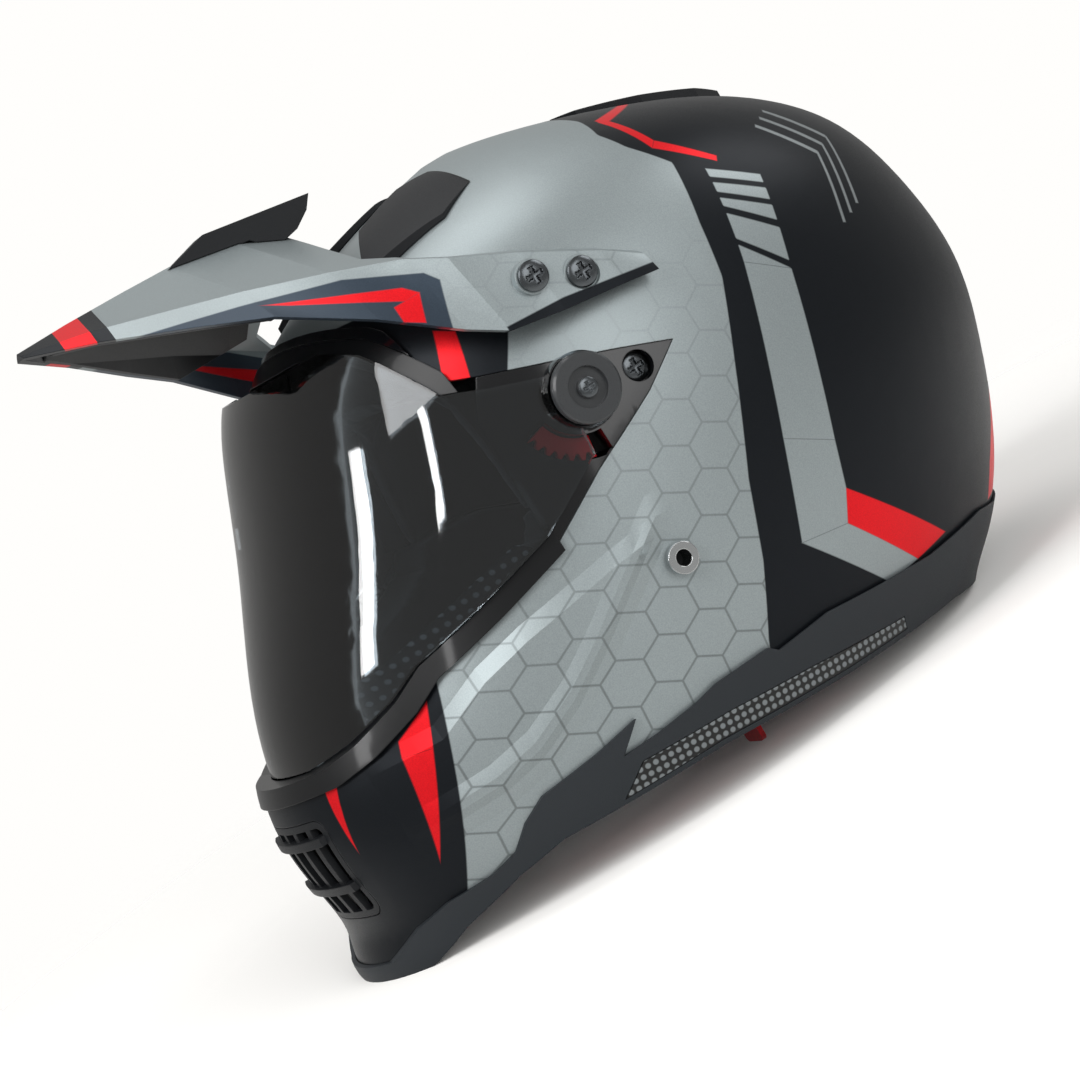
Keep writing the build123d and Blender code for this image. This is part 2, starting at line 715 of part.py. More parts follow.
# Pivot caps: round covers screwed to the posts
CAP_RADIUS = 12.7
CAP_INNER_RADIUS = 7.4
CAP_WALL = 3.4
CAP_CORE = 1.6
CAP_EDGE = 0.8
for name, side in (("right", -1), ("left", 1)):
    with BuildPart() as pivot_cap:
        start = POST_TOP + SEAT_GAP / 3
        add(side_disc(side, start, CAP_WALL, CAP_RADIUS))
        outer_edge = pivot_cap.edges().sort_by(Axis.X)[-1 if side > 0 else 0]
        chamfer(outer_edge, CAP_EDGE)
        add(side_disc(side, start + CAP_CORE, OVERRUN, CAP_INNER_RADIUS), mode=Mode.SUBTRACT)
        add(side_disc(side, start + CAP_CORE, CAP_CORE, SCREW_RADIUS - 2 * CAP_EDGE))
        add(side_disc(side, start - SCREW_LENGTH + CAP_CORE, SCREW_LENGTH, SCREW_SHANK))
    finish(pivot_cap.part, f"pivot_cap_{name}")

# Peak: a faceted roof with a ridge, two side arms and a crease line.
# Stations front to back: place as a share of HALF_LENGTH, ridge height, crease place and
# height, edge place and height; widths are shares of HALF_WIDTH, heights of SHELL_HEIGHT.
PEAK_SHARES = (
    (-0.955, 1.048, 0.030, 1.043, 0.055, 1.037),
    (-0.830, 1.050, 0.200, 1.020, 0.262, 0.998),
    (-0.686, 1.049, 0.370, 0.985, 0.500, 0.945),
    (-0.570, 1.047, 0.500, 0.957, 0.660, 0.902),
    (-0.424, 1.036, 0.668, 0.916, 0.825, 0.826),
    (-0.308, 1.000, 0.800, 0.880, 0.952, 0.754),
    (-0.245, 0.975, 0.880, 0.850, 1.018, 0.722),
    (-0.128, 0.960, 0.965, 0.806, 1.038, 0.708),
    (0.012, 0.950, 1.000, 0.752, 1.040, 0.696),
    (0.092, 0.940, 1.006, 0.716, 1.040, 0.688),
)
PEAK_WALL = 3.2
PEAK_DROP_SHARE = 0.30
PEAK_REAR_SHARES = (
    (0.0, -0.310),
    (0.400, -0.335),
    (0.640, -0.345),
    (0.800, -0.290),
    (0.860, -0.235),
    (0.925, -0.128),
    (0.968, 0.012),
    (0.978, 0.200),
)


def peak_block(inward):
    """Returns the peak's solid roof, with its faces moved inwards by this much."""
    with BuildPart() as block:
        for y, ridge, crease_x, crease_z, edge_x, edge_z in PEAK_SHARES:
            top = SHELL_HEIGHT * ridge - inward
            crease = (HALF_WIDTH * crease_x - inward / 2, SHELL_HEIGHT * crease_z - inward)
            edge = (HALF_WIDTH * edge_x - inward, SHELL_HEIGHT * edge_z - inward / 2)
            foot = (edge[0], SHELL_HEIGHT * (edge_z - PEAK_DROP_SHARE))
            right = [(0, top), crease, edge, foot]
            left = [(-x, z) for x, z in reversed(right[1:])]
            with BuildSketch(Plane.XZ.offset(-HALF_LENGTH * y)):
                with BuildLine():
                    Polyline(*right, *left, close=True)
                make_face()
        loft(ruled=True)
    return block.part


BELOW_PEAK_SHARES = (
    (0.300, 0.688),
    (0.300, 0.200),
    (FRONT_SHARE, 0.200),
    (FRONT_SHARE, 1.037),
)
with BuildPart() as below_edge:
    with BuildSketch(Plane.YZ):
        with BuildLine():
            line = [(row[0], row[5]) for row in PEAK_SHARES]
            Polyline(*side_points(line + list(BELOW_PEAK_SHARES)), close=True)
        make_face()
    extrude(amount=HALF_WIDTH + OVERRUN, both=True)

with BuildPart() as behind_roof:
    with BuildSketch(Plane.XY):
        with BuildLine():
            right = [(HALF_WIDTH * x, HALF_LENGTH * y) for x, y in PEAK_REAR_SHARES]
            left = [(-x, y) for x, y in reversed(right[1:])]
            Polyline(*right, *left, close=True)
        make_face()
    extrude(amount=2 * SHELL_HEIGHT)

PEAK_SCREW_SHARES = (
    (-0.1453, 0.7698),
    (-0.0494, 0.7401),
)
PEAK_SEAT = 121.0
PEAK_BOSS_RADIUS = 6.4
PEAK_BOSS_START = 100.0
PEAK_HOLE = 2.4
PEAK_SCREW_RADIUS = 5.6
PEAK_SCREW_HEAD = 2.6
PEAK_PAD = 117.4

with BuildPart() as peak:
    add(peak_block(0))
    add(peak_block(PEAK_WALL), mode=Mode.SUBTRACT)
    add(below_edge.part, mode=Mode.SUBTRACT)
    add(behind_roof.part, mode=Mode.SUBTRACT)
    for side in (-1, 1):
        for y, z in side_points(PEAK_SCREW_SHARES):
            add(side_disc(side, PEAK_PAD, PEAK_SEAT - PEAK_PAD, PEAK_BOSS_RADIUS, y, z))
            add(side_disc(side, PEAK_SEAT, OVERRUN, PEAK_BOSS_RADIUS, y, z), mode=Mode.SUBTRACT)
            add(side_disc(side, PEAK_BOSS_START, OVERRUN, PEAK_HOLE, y, z), mode=Mode.SUBTRACT)
finish(peak.part, "peak")

with BuildPart() as peak_screws:
    for side in (-1, 1):
        for y, z in side_points(PEAK_SCREW_SHARES):
            seat = PEAK_SEAT + SEAT_GAP / 3
            add(side_disc(side, seat, PEAK_SCREW_HEAD, PEAK_SCREW_RADIUS, y, z))
            add(side_disc(side, seat - SCREW_LENGTH, SCREW_LENGTH, SCREW_SHANK, y, z))
finish(peak_screws.part, "peak_screws")

# Black parts of the peak: a lining under the roof and the fin that carries the ridge back
UNDERSIDE_WALL = 2.0
UNDERSIDE_SHARES = (
    (-0.900, 0.90),
    (-0.900, 1.10),
    (-0.380, 1.10),
    (-0.380, 0.90),
)
with BuildPart() as peak_underside:
    add(peak_block(PEAK_WALL + SEAT_GAP))
    add(peak_block(PEAK_WALL + SEAT_GAP + UNDERSIDE_WALL), mode=Mode.SUBTRACT)
    add(side_block(UNDERSIDE_SHARES), mode=Mode.INTERSECT)
    add(below_edge.part, mode=Mode.SUBTRACT)
finish(peak_underside.part, "peak_underside")

FIN_SHARES = (
    (-0.600, 1.040),
    (-0.480, 1.062),
    (-0.240, 1.036),
    (-0.262, 1.016),
    (-0.300, 0.999),
    (-0.360, 0.990),
    (-0.400, 1.020),
)
FIN_HALF_WIDTH = 15.0
FIN_NOSE_HALF_WIDTH = 3.0
with BuildPart() as roof_room:
    add(peak_block(-SEAT_GAP))
    add(behind_roof.part, mode=Mode.SUBTRACT)
with BuildPart() as peak_fin:
    with BuildSketch(Plane.YZ):
        with BuildLine():
            Polyline(*side_points(FIN_SHARES), close=True)
        make_face()
    extrude(amount=FIN_HALF_WIDTH, both=True)
    with BuildSketch(Plane.XY):
        with BuildLine():
            nose, tail = HALF_LENGTH * FIN_SHARES[0][0], HALF_LENGTH * FIN_SHARES[2][0]
            Polyline((-FIN_NOSE_HALF_WIDTH, nose), (FIN_NOSE_HALF_WIDTH, nose),
                     (FIN_HALF_WIDTH, tail), (-FIN_HALF_WIDTH, tail), close=True)
        make_face()
    extrude(amount=2 * SHELL_HEIGHT, mode=Mode.INTERSECT)
    add(roof_room.part, mode=Mode.SUBTRACT)
finish(peak_fin.part, "peak_fin")

# Forehead scoops: a wedge on each side, open to the front, with ribs in its mouth
SCOOP_SHIFT = 15.0
SCOOP_SINK = 1.0
SCOOP_ROOF = 2.2
SCOOP_SHARES = (
    (0.500, -0.320),
    (0.180, -0.200),
    (0.117, -0.060),
    (0.240, 0.040),
    (0.517, 0.012),
    (0.590, -0.125),
)
SCOOP_CHANNELS = 3
CHANNEL_WIDTH = 9.5
CHANNEL_PITCH = 12.0
CHANNEL_FIRST = 27.0
CHANNEL_REAR_SHARE = -0.060


def raised_form(drawn_in, shift, lift):
    """Returns the form moved along and up, so that one end of it stands proud of the shell."""
    return grown_form(-drawn_in).moved(Location((0, shift, lift)))


with BuildPart() as scoop_hollow:
    with BuildSketch(Plane.XY.offset(SHELL_HEIGHT / 2)):
        for side in (-1, 1):
            for i in range(SCOOP_CHANNELS):
                with Locations((side * (CHANNEL_FIRST + i * CHANNEL_PITCH),
                                HALF_LENGTH * (CHANNEL_REAR_SHARE - 0.5))):
                    Rectangle(CHANNEL_WIDTH, HALF_LENGTH)
    extrude(amount=SHELL_HEIGHT)
    add(raised_form(SCOOP_ROOF, -SCOOP_SHIFT, -SCOOP_SINK), mode=Mode.INTERSECT)
with BuildPart() as scoop_pair:
    for side in (-1, 1):
        with BuildSketch(Plane.XY.offset(SHELL_HEIGHT / 2)):
            with BuildLine():
                Polyline(*[(side * HALF_WIDTH * x, HALF_LENGTH * y) for x, y in SCOOP_SHARES],
                         close=True)
            make_face()
        extrude(amount=SHELL_HEIGHT)
    add(raised_form(0, -SCOOP_SHIFT, -SCOOP_SINK), mode=Mode.INTERSECT)
    add(band_inner, mode=Mode.SUBTRACT)
    add(scoop_hollow.part, mode=Mode.SUBTRACT)
for label, low in (("forehead_scoop_right", True), ("forehead_scoop_left", False)):
    with BuildPart() as forehead_scoop:
        add(scoop_pair.part)
        split(bisect_by=Plane.YZ, keep=Keep.BOTTOM if low else Keep.TOP)
    finish(forehead_scoop.part, label)

# Chin vent: a grille with two proud blades, and a shutter that slides up behind it
CHIN_VENT_MIDDLE = (CHIN_VENT_LOW + CHIN_VENT_HIGH) / 2
CHIN_VENT_HEIGHT = CHIN_VENT_HIGH - CHIN_VENT_LOW
GRILLE_WALL = 2.6
BLADE_PROUD = 2.0
BLADE_THICKNESS = 3.4
BLADE_SHARES = (0.33, 0.81)
GRILLE_FRAME = 3.0
GRILLE_BAR = 3.0
GRILLE_BARS = 5
CHIN_DEPTH_SHARE = 0.8


def chin_slab(width, height, middle, corner=0.0):
    """Returns a block through the front of the chin, drawn in the front view."""
    with BuildPart() as slab:
        with BuildSketch(Plane.XZ.offset(HALF_LENGTH * CHIN_DEPTH_SHARE)):
            with Locations((0, middle)):
                if corner:
                    RectangleRounded(width, height, corner)
                else:
                    Rectangle(width, height)
        extrude(amount=HALF_LENGTH)
    return slab.part


grille_back = grown_form(-GRILLE_WALL)
with BuildPart() as blades:
    for share in BLADE_SHARES:
        middle = CHIN_VENT_LOW + share * CHIN_VENT_HEIGHT
        add(chin_slab(CHIN_VENT_WIDTH - 2 * GRILLE_FRAME, BLADE_THICKNESS, middle))
    add(grown_form(BLADE_PROUD), mode=Mode.INTERSECT)
    add(grille_back, mode=Mode.SUBTRACT)
with BuildPart() as chin_vent_grille:
    add(chin_slab(CHIN_VENT_WIDTH - 2 * SEAT_GAP, CHIN_VENT_HEIGHT - 2 * SEAT_GAP,
                  CHIN_VENT_MIDDLE, CHIN_VENT_CORNER))
    add(shell_form, mode=Mode.INTERSECT)
    add(grille_back, mode=Mode.SUBTRACT)
    with BuildSketch(Plane.XZ):
        with Locations((0, CHIN_VENT_MIDDLE)):
            RectangleRounded(CHIN_VENT_WIDTH - 2 * GRILLE_FRAME,
                             CHIN_VENT_HEIGHT - 2 * GRILLE_FRAME, GRILLE_FRAME)
            with GridLocations(CHIN_VENT_WIDTH / (GRILLE_BARS + 1), 0, GRILLE_BARS, 1):
                Rectangle(GRILLE_BAR, CHIN_VENT_HIGH, mode=Mode.SUBTRACT)
    extrude(amount=HALF_LENGTH + OVERRUN, mode=Mode.SUBTRACT)
    add(blades.part)
finish(chin_vent_grille.part, "chin_vent_grille")

SHUTTER_GAP = 0.7
SHUTTER_WALL = 1.5
SHUTTER_HALF_WIDTH = 28.0
SHUTTER_HEIGHT = 14.0
with BuildPart() as chin_vent_shutter:
    add(chin_slab(2 * SHUTTER_HALF_WIDTH, SHUTTER_HEIGHT,
                  CHIN_VENT_LOW + GRILLE_FRAME + SHUTTER_HEIGHT / 2))
    add(grown_form(-GRILLE_WALL - SHUTTER_GAP), mode=Mode.INTERSECT)
    add(grown_form(-GRILLE_WALL - SHUTTER_GAP - SHUTTER_WALL), mode=Mode.SUBTRACT)
finish(chin_vent_shutter.part, "chin_vent_shutter")

# Rear vent: a low black housing on the crown with two mouths to the rear
REAR_SHIFT = 7.0
REAR_LIFT = 1.0
REAR_SHARES = (
    (0.0, 0.380),
    (0.110, 0.410),
    (0.250, 0.520),
    (0.270, 0.640),
    (0.180, 0.720),
    (0.0, 0.745),
)
REAR_MOUTH_WIDTH = 19.0
REAR_MOUTH_PLACE = 14.0
REAR_MOUTH_FRONT_SHARE = 0.560
with BuildPart() as rear_hollow:
    with BuildSketch(Plane.XY.offset(SHELL_HEIGHT / 2)):
        for side in (-1, 1):
            middle = HALF_LENGTH * REAR_MOUTH_FRONT_SHARE + HALF_LENGTH / 2
            with Locations((side * REAR_MOUTH_PLACE, middle)):
                Rectangle(REAR_MOUTH_WIDTH, HALF_LENGTH)
    extrude(amount=SHELL_HEIGHT)
    add(raised_form(SCOOP_ROOF, REAR_SHIFT, REAR_LIFT), mode=Mode.INTERSECT)
with BuildPart() as rear_vent_housing:
    with BuildSketch(Plane.XY.offset(SHELL_HEIGHT / 2)):
        with BuildLine():
            right = [(HALF_WIDTH * x, HALF_LENGTH * y) for x, y in REAR_SHARES]
            left = [(-x, y) for x, y in reversed(right[1:-1])]
            Polyline(*right, *left, close=True)
        make_face()
    extrude(amount=SHELL_HEIGHT)
    add(raised_form(0, REAR_SHIFT, REAR_LIFT), mode=Mode.INTERSECT)
    add(band_inner, mode=Mode.SUBTRACT)
    add(rear_hollow.part, mode=Mode.SUBTRACT)
finish(rear_vent_housing.part, "rear_vent_housing")
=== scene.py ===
# %% [markdown]
# # Dual sport helmet
# This kind of helmet is an off-road shell with a long peak and a road shield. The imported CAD
# model is the frame, in metres, with the wearer facing -Y and the floor at Z = 0. This script
# gives each rigid piece its lacquer, plastic, rubber or glass, puts modelled fabric pieces
# where the CAD has plain soft solids, and looks at the helmet as the photo does.

from math import cos, radians, sin, tau

import bmesh
import bpy
from mathutils import Matrix, Vector


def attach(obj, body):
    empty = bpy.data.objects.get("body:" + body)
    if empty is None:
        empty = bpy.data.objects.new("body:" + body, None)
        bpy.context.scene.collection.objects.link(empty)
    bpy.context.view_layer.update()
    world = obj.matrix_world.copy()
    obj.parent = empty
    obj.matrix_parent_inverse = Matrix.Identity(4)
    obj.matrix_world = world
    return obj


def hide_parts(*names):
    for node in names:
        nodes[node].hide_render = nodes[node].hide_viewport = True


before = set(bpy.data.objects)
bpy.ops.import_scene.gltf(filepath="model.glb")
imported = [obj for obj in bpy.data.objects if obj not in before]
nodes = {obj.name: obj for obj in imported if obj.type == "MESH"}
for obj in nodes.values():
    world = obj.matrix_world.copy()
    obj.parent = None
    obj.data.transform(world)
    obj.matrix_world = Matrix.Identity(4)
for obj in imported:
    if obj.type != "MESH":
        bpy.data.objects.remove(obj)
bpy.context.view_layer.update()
MM = 0.001

# %% [markdown]
# ## Camera
# The photo looks at the helmet's left side, a little from the front and from above. The helmet
# seems to lean back on its chin there. It could be tilted instead, but the part stands level
# on its rim, so the camera is rolled. The lens follows from the distance and the seen width.

# %% Camera
CAMERA_TURN = radians(20)
CAMERA_RISE = radians(6)
CAMERA_ROLL = radians(31)
CAMERA_DISTANCE = 1100 * MM
CAMERA_TARGET = Vector((0, -28, 103)) * MM
SEEN_WIDTH = 415.4 * MM
NEAREST_SHARE = 1 / 50

across = Vector((sin(CAMERA_TURN), cos(CAMERA_TURN), 0))
back = Vector((cos(CAMERA_TURN) * cos(CAMERA_RISE), -sin(CAMERA_TURN) * cos(CAMERA_RISE),
               sin(CAMERA_RISE)))
upward = back.cross(across)
camera_x = cos(CAMERA_ROLL) * across - sin(CAMERA_ROLL) * upward
camera_y = sin(CAMERA_ROLL) * across + cos(CAMERA_ROLL) * upward
camera = bpy.data.objects.new("camera", bpy.data.cameras.new("camera"))
bpy.context.scene.collection.objects.link(camera)
camera.matrix_world = Matrix.Translation(CAMERA_TARGET + back * CAMERA_DISTANCE) @ Matrix(
    (camera_x, camera_y, back)).transposed().to_4x4()
camera.data.lens = camera.data.sensor_width * CAMERA_DISTANCE / SEEN_WIDTH
camera.data.clip_start = CAMERA_DISTANCE * NEAREST_SHARE
bpy.context.scene.camera = camera
bpy.context.scene.view_settings.view_transform = "Standard"
print("lens", round(camera.data.lens, 1), "mm at", [round(c, 3) for c in camera.location])

# %% [markdown]
# ## Nodes
# Every finish here is made of shader nodes. One small function adds a node with its settings
# and links. Colours are sRGB hex, which another function turns to linear. Patterns are
# measured in mm of the helmet's own frame, so that they keep their size on every piece.

# %% Node helpers
def linear(colour):
    """Turns an sRGB hex colour into linear RGBA."""
    parts = [int(colour[i:i + 2], 16) / 255 for i in (1, 3, 5)]
    return [c / 12.92 if c <= 0.04045 else ((c + 0.055) / 1.055) ** 2.4 for c in parts] + [1.0]


def add(tree, kind, inputs=(), out=0, **settings):
    """Adds a node with these settings. Its inputs are sockets, values or hex colours."""
    node = tree.nodes.new("ShaderNode" + kind)
    for name, value in settings.items():
        setattr(node, name, value)
    pairs = inputs.items() if isinstance(inputs, dict) else enumerate(inputs)
    for key, value in pairs:
        if isinstance(value, bpy.types.NodeSocket):
            tree.links.new(value, node.inputs[key])
        else:
            node.inputs[key].default_value = linear(value) if isinstance(value, str) else value
    return node.outputs[out] if node.outputs else None


def start(name):
    """Makes an empty node material, and gives its tree, its place and its X, Y and Z in mm."""
    material = bpy.data.materials.new(name)
    material.use_nodes = True
    tree = material.node_tree
    tree.nodes.clear()
    place = add(tree, "VectorMath", {0: add(tree, "TexCoord", out=3), 3: 1 / MM},
                operation="SCALE")
    axes = add(tree, "SeparateXYZ", [place]).node
    return material, tree, place, axes.outputs


def surface(tree, **inputs):
    """Ends a material with a Principled shader."""
    named = {key.replace("_", " "): value for key, value in inputs.items()}
    add(tree, "OutputMaterial", [add(tree, "BsdfPrincipled", named)])


print("half-way grey #808080 is", round(linear("#808080")[0], 3), "in linear light")

# %% [markdown]
# ## Outlines
# The real graphics are decals under the lacquer, cut to outlines. An image could hold them,
# but outlines in mm stay sharp and need no unwrapping. A convex outline is the least of the
# distances to its edges, and a long bent edge is a curve that gives a limit for each height.

# %% Outline helpers
EDGE_BLUR = 0.5
HALF = 0.5


def inside(tree, first, second, outline, blur=EDGE_BLUR):
    """Gives 1 inside a convex outline in mm of two coordinates, and 0 outside it."""
    edges = list(zip(outline, outline[1:] + outline[:1]))
    turn = 1 if sum(a[0] * b[1] - b[0] * a[1] for a, b in edges) > 0 else -1
    depth = None
    for a, b in edges:
        run, rise = b[0] - a[0], b[1] - a[1]
        length = (run * run + rise * rise) ** 0.5
        slope = (-rise * turn / length, run * turn / length)
        offset = -(a[0] * slope[0] + a[1] * slope[1])
        reach = add(tree, "Math", [first, slope[0], offset], operation="MULTIPLY_ADD")
        reach = add(tree, "Math", [second, slope[1], reach], operation="MULTIPLY_ADD")
        depth = reach if depth is None else add(tree, "Math", [depth, reach],
                                                operation="MINIMUM")
    return add(tree, "Math", [depth, 1 / blur, HALF], operation="MULTIPLY_ADD", use_clamp=True)


def behind(tree, y, z, line, low, high, blur=EDGE_BLUR):
    """Gives 1 behind a line of (y, z) points in mm that goes up from low to high."""
    reach_low, reach_high = min(p[0] for p in line), max(p[0] for p in line)
    span = (reach_high - reach_low) or 1.0
    height = add(tree, "Math", [z, 1 / (high - low), -low / (high - low)],
                 operation="MULTIPLY_ADD", use_clamp=True)
    curve = tree.nodes.new("ShaderNodeFloatCurve")
    points = curve.mapping.curves[0].points
    for _ in line[2:]:
        points.new(HALF, HALF)
    for point, (along, level) in zip(points, sorted(line, key=lambda p: p[1])):
        point.location = ((level - low) / (high - low), (along - reach_low) / span)
        point.handle_type = "VECTOR"
    curve.mapping.update()
    tree.links.new(height, curve.inputs["Value"])
    limit = add(tree, "Math", [curve.outputs[0], span, reach_low], operation="MULTIPLY_ADD")
    gap = add(tree, "Math", [y, limit], operation="SUBTRACT")
    return add(tree, "Math", [gap, 1 / blur, HALF], operation="MULTIPLY_ADD", use_clamp=True)


def most(tree, masks):
    """Joins several masks into one."""
    joined = masks[0]
    for mask in masks[1:]:
        joined = add(tree, "Math", [joined, mask], operation="MAXIMUM")
    return joined


def dotted(tree, y, z, pitch, dot, edge):
    """Gives 1 on round dots that repeat at this pitch, and 0 between them."""
    cell = [add(tree, "Math", [c, pitch / 2, -pitch / 2], operation="WRAP") for c in (y, z)]
    reach = add(tree, "VectorMath", [add(tree, "CombineXYZ", cell)], 1, operation="LENGTH")
    return add(tree, "MapRange", [reach, dot, dot + edge, 1.0, 0.0])


def coated(tree, paint, coats):
    """Lays coats over a paint in their order, each a mask and the colour where it is 1."""
    for mask, colour in coats:
        paint = add(tree, "Mix", {0: mask, 6: paint, 7: colour}, 2, data_type="RGBA")
    return paint


print("the edges of outlines are", EDGE_BLUR, "mm soft")

# %% [markdown]
# ## Hexagons
# The cheeks carry a faint honeycomb under the lacquer, with level rows in the photo and cells
# 16 mm across. Two grids of points, one shifted by half a cell, give each place its nearest
# centre, and the distance to the flats of a hexagon there gives the lines between cells.

# %% Hexagon pattern
HEX_FLATS = 16.0
HEX_LINE = 0.035
HEX_RATIO = 3 ** 0.5


def hexagons(tree, y, z):
    """Gives 1 on the lines of the honeycomb, and 0 in its cells."""
    lean, level = sin(CAMERA_ROLL) / HEX_FLATS, cos(CAMERA_ROLL) / HEX_FLATS
    flat_y = cos(CAMERA_TURN)
    u = add(tree, "Math", [y, flat_y * level], operation="MULTIPLY")
    u = add(tree, "Math", [z, -lean, u], operation="MULTIPLY_ADD")
    v = add(tree, "Math", [y, flat_y * lean], operation="MULTIPLY")
    v = add(tree, "Math", [z, level, v], operation="MULTIPLY_ADD")
    pair = add(tree, "CombineXYZ", [u, v])
    low, high = (-HEX_RATIO / 2, -HALF, 0.0), (HEX_RATIO / 2, HALF, 1.0)
    cells = []
    for shift in (0.0, HALF):
        moved = add(tree, "VectorMath", [pair, (shift * HEX_RATIO, shift, 0.0)], operation="ADD")
        moved = add(tree, "VectorMath", [moved, high, low], operation="WRAP")
        moved = add(tree, "VectorMath", [moved, (1.0, 1.0, 0.0)], operation="MULTIPLY")
        near = add(tree, "VectorMath", [moved], 1, operation="LENGTH")
        size = add(tree, "VectorMath", [moved], operation="ABSOLUTE")
        flats = [add(tree, "VectorMath", [size, way], 1, operation="DOT_PRODUCT")
                 for way in ((HEX_RATIO / 2, HALF, 0.0), (0.0, 1.0, 0.0))]
        cells.append((near, add(tree, "Math", flats, operation="MAXIMUM")))
    first_nearer = add(tree, "Math", [cells[0][0], cells[1][0]], operation="LESS_THAN")
    depth = add(tree, "Mix", {0: first_nearer, 2: cells[1][1], 3: cells[0][1]})
    return add(tree, "MapRange", [depth, HALF - HEX_LINE, HALF - HEX_LINE / 3, 0.0, 1.0])


print("honeycomb cells", HEX_FLATS, "mm across, lines", round(2 * HEX_FLATS * HEX_LINE, 1), "mm")

# %% [markdown]
# ## Metallic lacquer
# The shell and the peak are sprayed: a colour coat with fine aluminium flake, then a matt clear
# lacquer. Flake gives the eye a soft broad glow that follows the form, so the base is partly
# metallic, with fine noise in its brightness and roughness, and a thin soft coat over it. Real
# flake is under 0.1 mm, and is drawn at about 0.5 mm here so that it shows. The edges are
# rounded by the Bevel node, because sprayed edges never stay sharp.

# %% Lacquer
GREY_PAINT = "#98a1a3"
BLACK_PAINT = "#14181d"
BLUE_GREY_PAINT = "#36414d"
RED_PAINT = "#e8141f"
HEX_INK = "#6f7677"
LINE_GREY = "#8b9193"
FLAKES_PER_MM = 2.2
# Noise keeps mostly between these two values.
NOISE_LOW, NOISE_HIGH = 0.3, 0.7
FLAKE_DIM, FLAKE_BRIGHT = 0.9, 1.08
LACQUER_ROUGH = 0.4
ROUGH_SPREAD = 0.05
FLAKE_SHARE = 0.55
EDGE_ROUND = 0.5 * MM
CREASE_DEPTH = 1.6 * MM


def painted(name, colour, relief=None):
    """Makes a metallic lacquer from a function that gives its colour, and maybe its relief."""
    material, tree, place, (x, y, z) = start(name)
    paint = colour(tree, x, y, z)
    flake = add(tree, "TexNoise", {"Vector": place, "Scale": FLAKES_PER_MM, "Detail": 2.0})
    lit = add(tree, "MapRange", [flake, NOISE_LOW, NOISE_HIGH, FLAKE_DIM, FLAKE_BRIGHT])
    paint = add(tree, "VectorMath", {0: paint, 3: lit}, operation="SCALE")
    rough = add(tree, "MapRange", [flake, NOISE_LOW, NOISE_HIGH, LACQUER_ROUGH - ROUGH_SPREAD,
                                   LACQUER_ROUGH + ROUGH_SPREAD])
    rounded = add(tree, "Bevel", {"Radius": EDGE_ROUND}, samples=4)
    if relief:
        rounded = add(tree, "Bump", {"Strength": 1.0, "Distance": CREASE_DEPTH,
                                     "Height": relief(tree, y, z), "Normal": rounded})
    surface(tree, Base_Color=paint, Roughness=rough, Metallic=FLAKE_SHARE,
            Specular_IOR_Level=0.25, Coat_Weight=0.05, Coat_Roughness=0.3, Normal=rounded)
    return material


print("one flake's grain is", round(1 / FLAKES_PER_MM, 2), "mm")

# %% [markdown]
# ## Shell graphics
# The front is grey and the rear black, and a grey stripe turns to the rear, with red patches
# where it ends. The outlines are (Y, Z) points in mm as seen from the side, and both sides of
# the helmet have the same. Each mask is laid over what is below it, as decals are.

# %% Shell graphics
GREY_END = [(-26, 10), (-15, 42), (-3, 67), (7, 94), (24, 129), (39, 159), (44, 179), (52, 202),
            (44, 215), (42, 224), (47, 232), (48, 256)]
GREY_END_LEVELS = (0.0, 260.0)
STRIPE = [
    [(61, 194), (79, 182), (66, 148), (50, 159)],
    [(50, 159), (66, 148), (46, 88), (27, 99)],
    [(27, 99), (46, 88), (41, 71), (35, 60), (14, 64)],
    [(14, 64), (35, 60), (59, 32), (42, 32)],
]
STRIPE_GAPS = [
    [(59, 191.5), (79, 178.2), (79, 175.6), (59, 188.8)],
    [(57, 185.8), (78, 170.8), (78, 168.2), (57, 183.0)],
    [(56, 180.0), (75, 163.0), (74, 160.2), (55, 177.4)],
    [(51, 169.5), (69, 148.6), (68, 145.6), (51, 166.4)],
]
REAR_RED = [
    [(41, 71), (78, 33), (59, 32), (35, 60)],
    [(141, 64), (150, 60), (128, 28), (112, 28), (124, 40)],
]
CROWN_RED = [
    [(49.5, 228), (52.5, 228), (54.4, 212), (51, 210)],
    [(51, 210), (54.4, 212), (69, 195.8), (67.5, 194.2)],
    [(50, 229), (50, 226), (78, 228.6), (78, 230)],
]
PEN_LINES = [
    [(107, 200), (108.2, 200.9), (123.8, 180.6), (122.6, 179.6)],
    [(122.6, 180.4), (123.8, 180.2), (112.6, 153.6), (111.4, 154.2)],
]
PEN_SHIFTS = ((0.0, 0.0), (-6.0, -1.5), (-12.0, -3.0))
CHIN_BLACK = [(-200, 100), (-114, 100), (-117.6, 90), (-141, 24), (-150, 0), (-200, 0)]
CHIN_RED = [
    [(-123.5, 86), (-137, 78.5), (-139, 73), (-130, 71)],
    [(-139, 73), (-145.6, 35), (-130, 71)],
]
SPEAR_RED = [(39, 75), (44.5, 73.5), (41.5, 50)]
SPEAR_REAR = -100.0
BROW_BLACK = [(-140, 224), (-66, 212), (-34, 186), (-52, 160), (-140, 160)]
BROW_RED = [(-55, 195), (-50, 191), (-57, 171), (-64, 176)]
HEX_FADE = (60, 190)
HEX_STRENGTH = 0.85


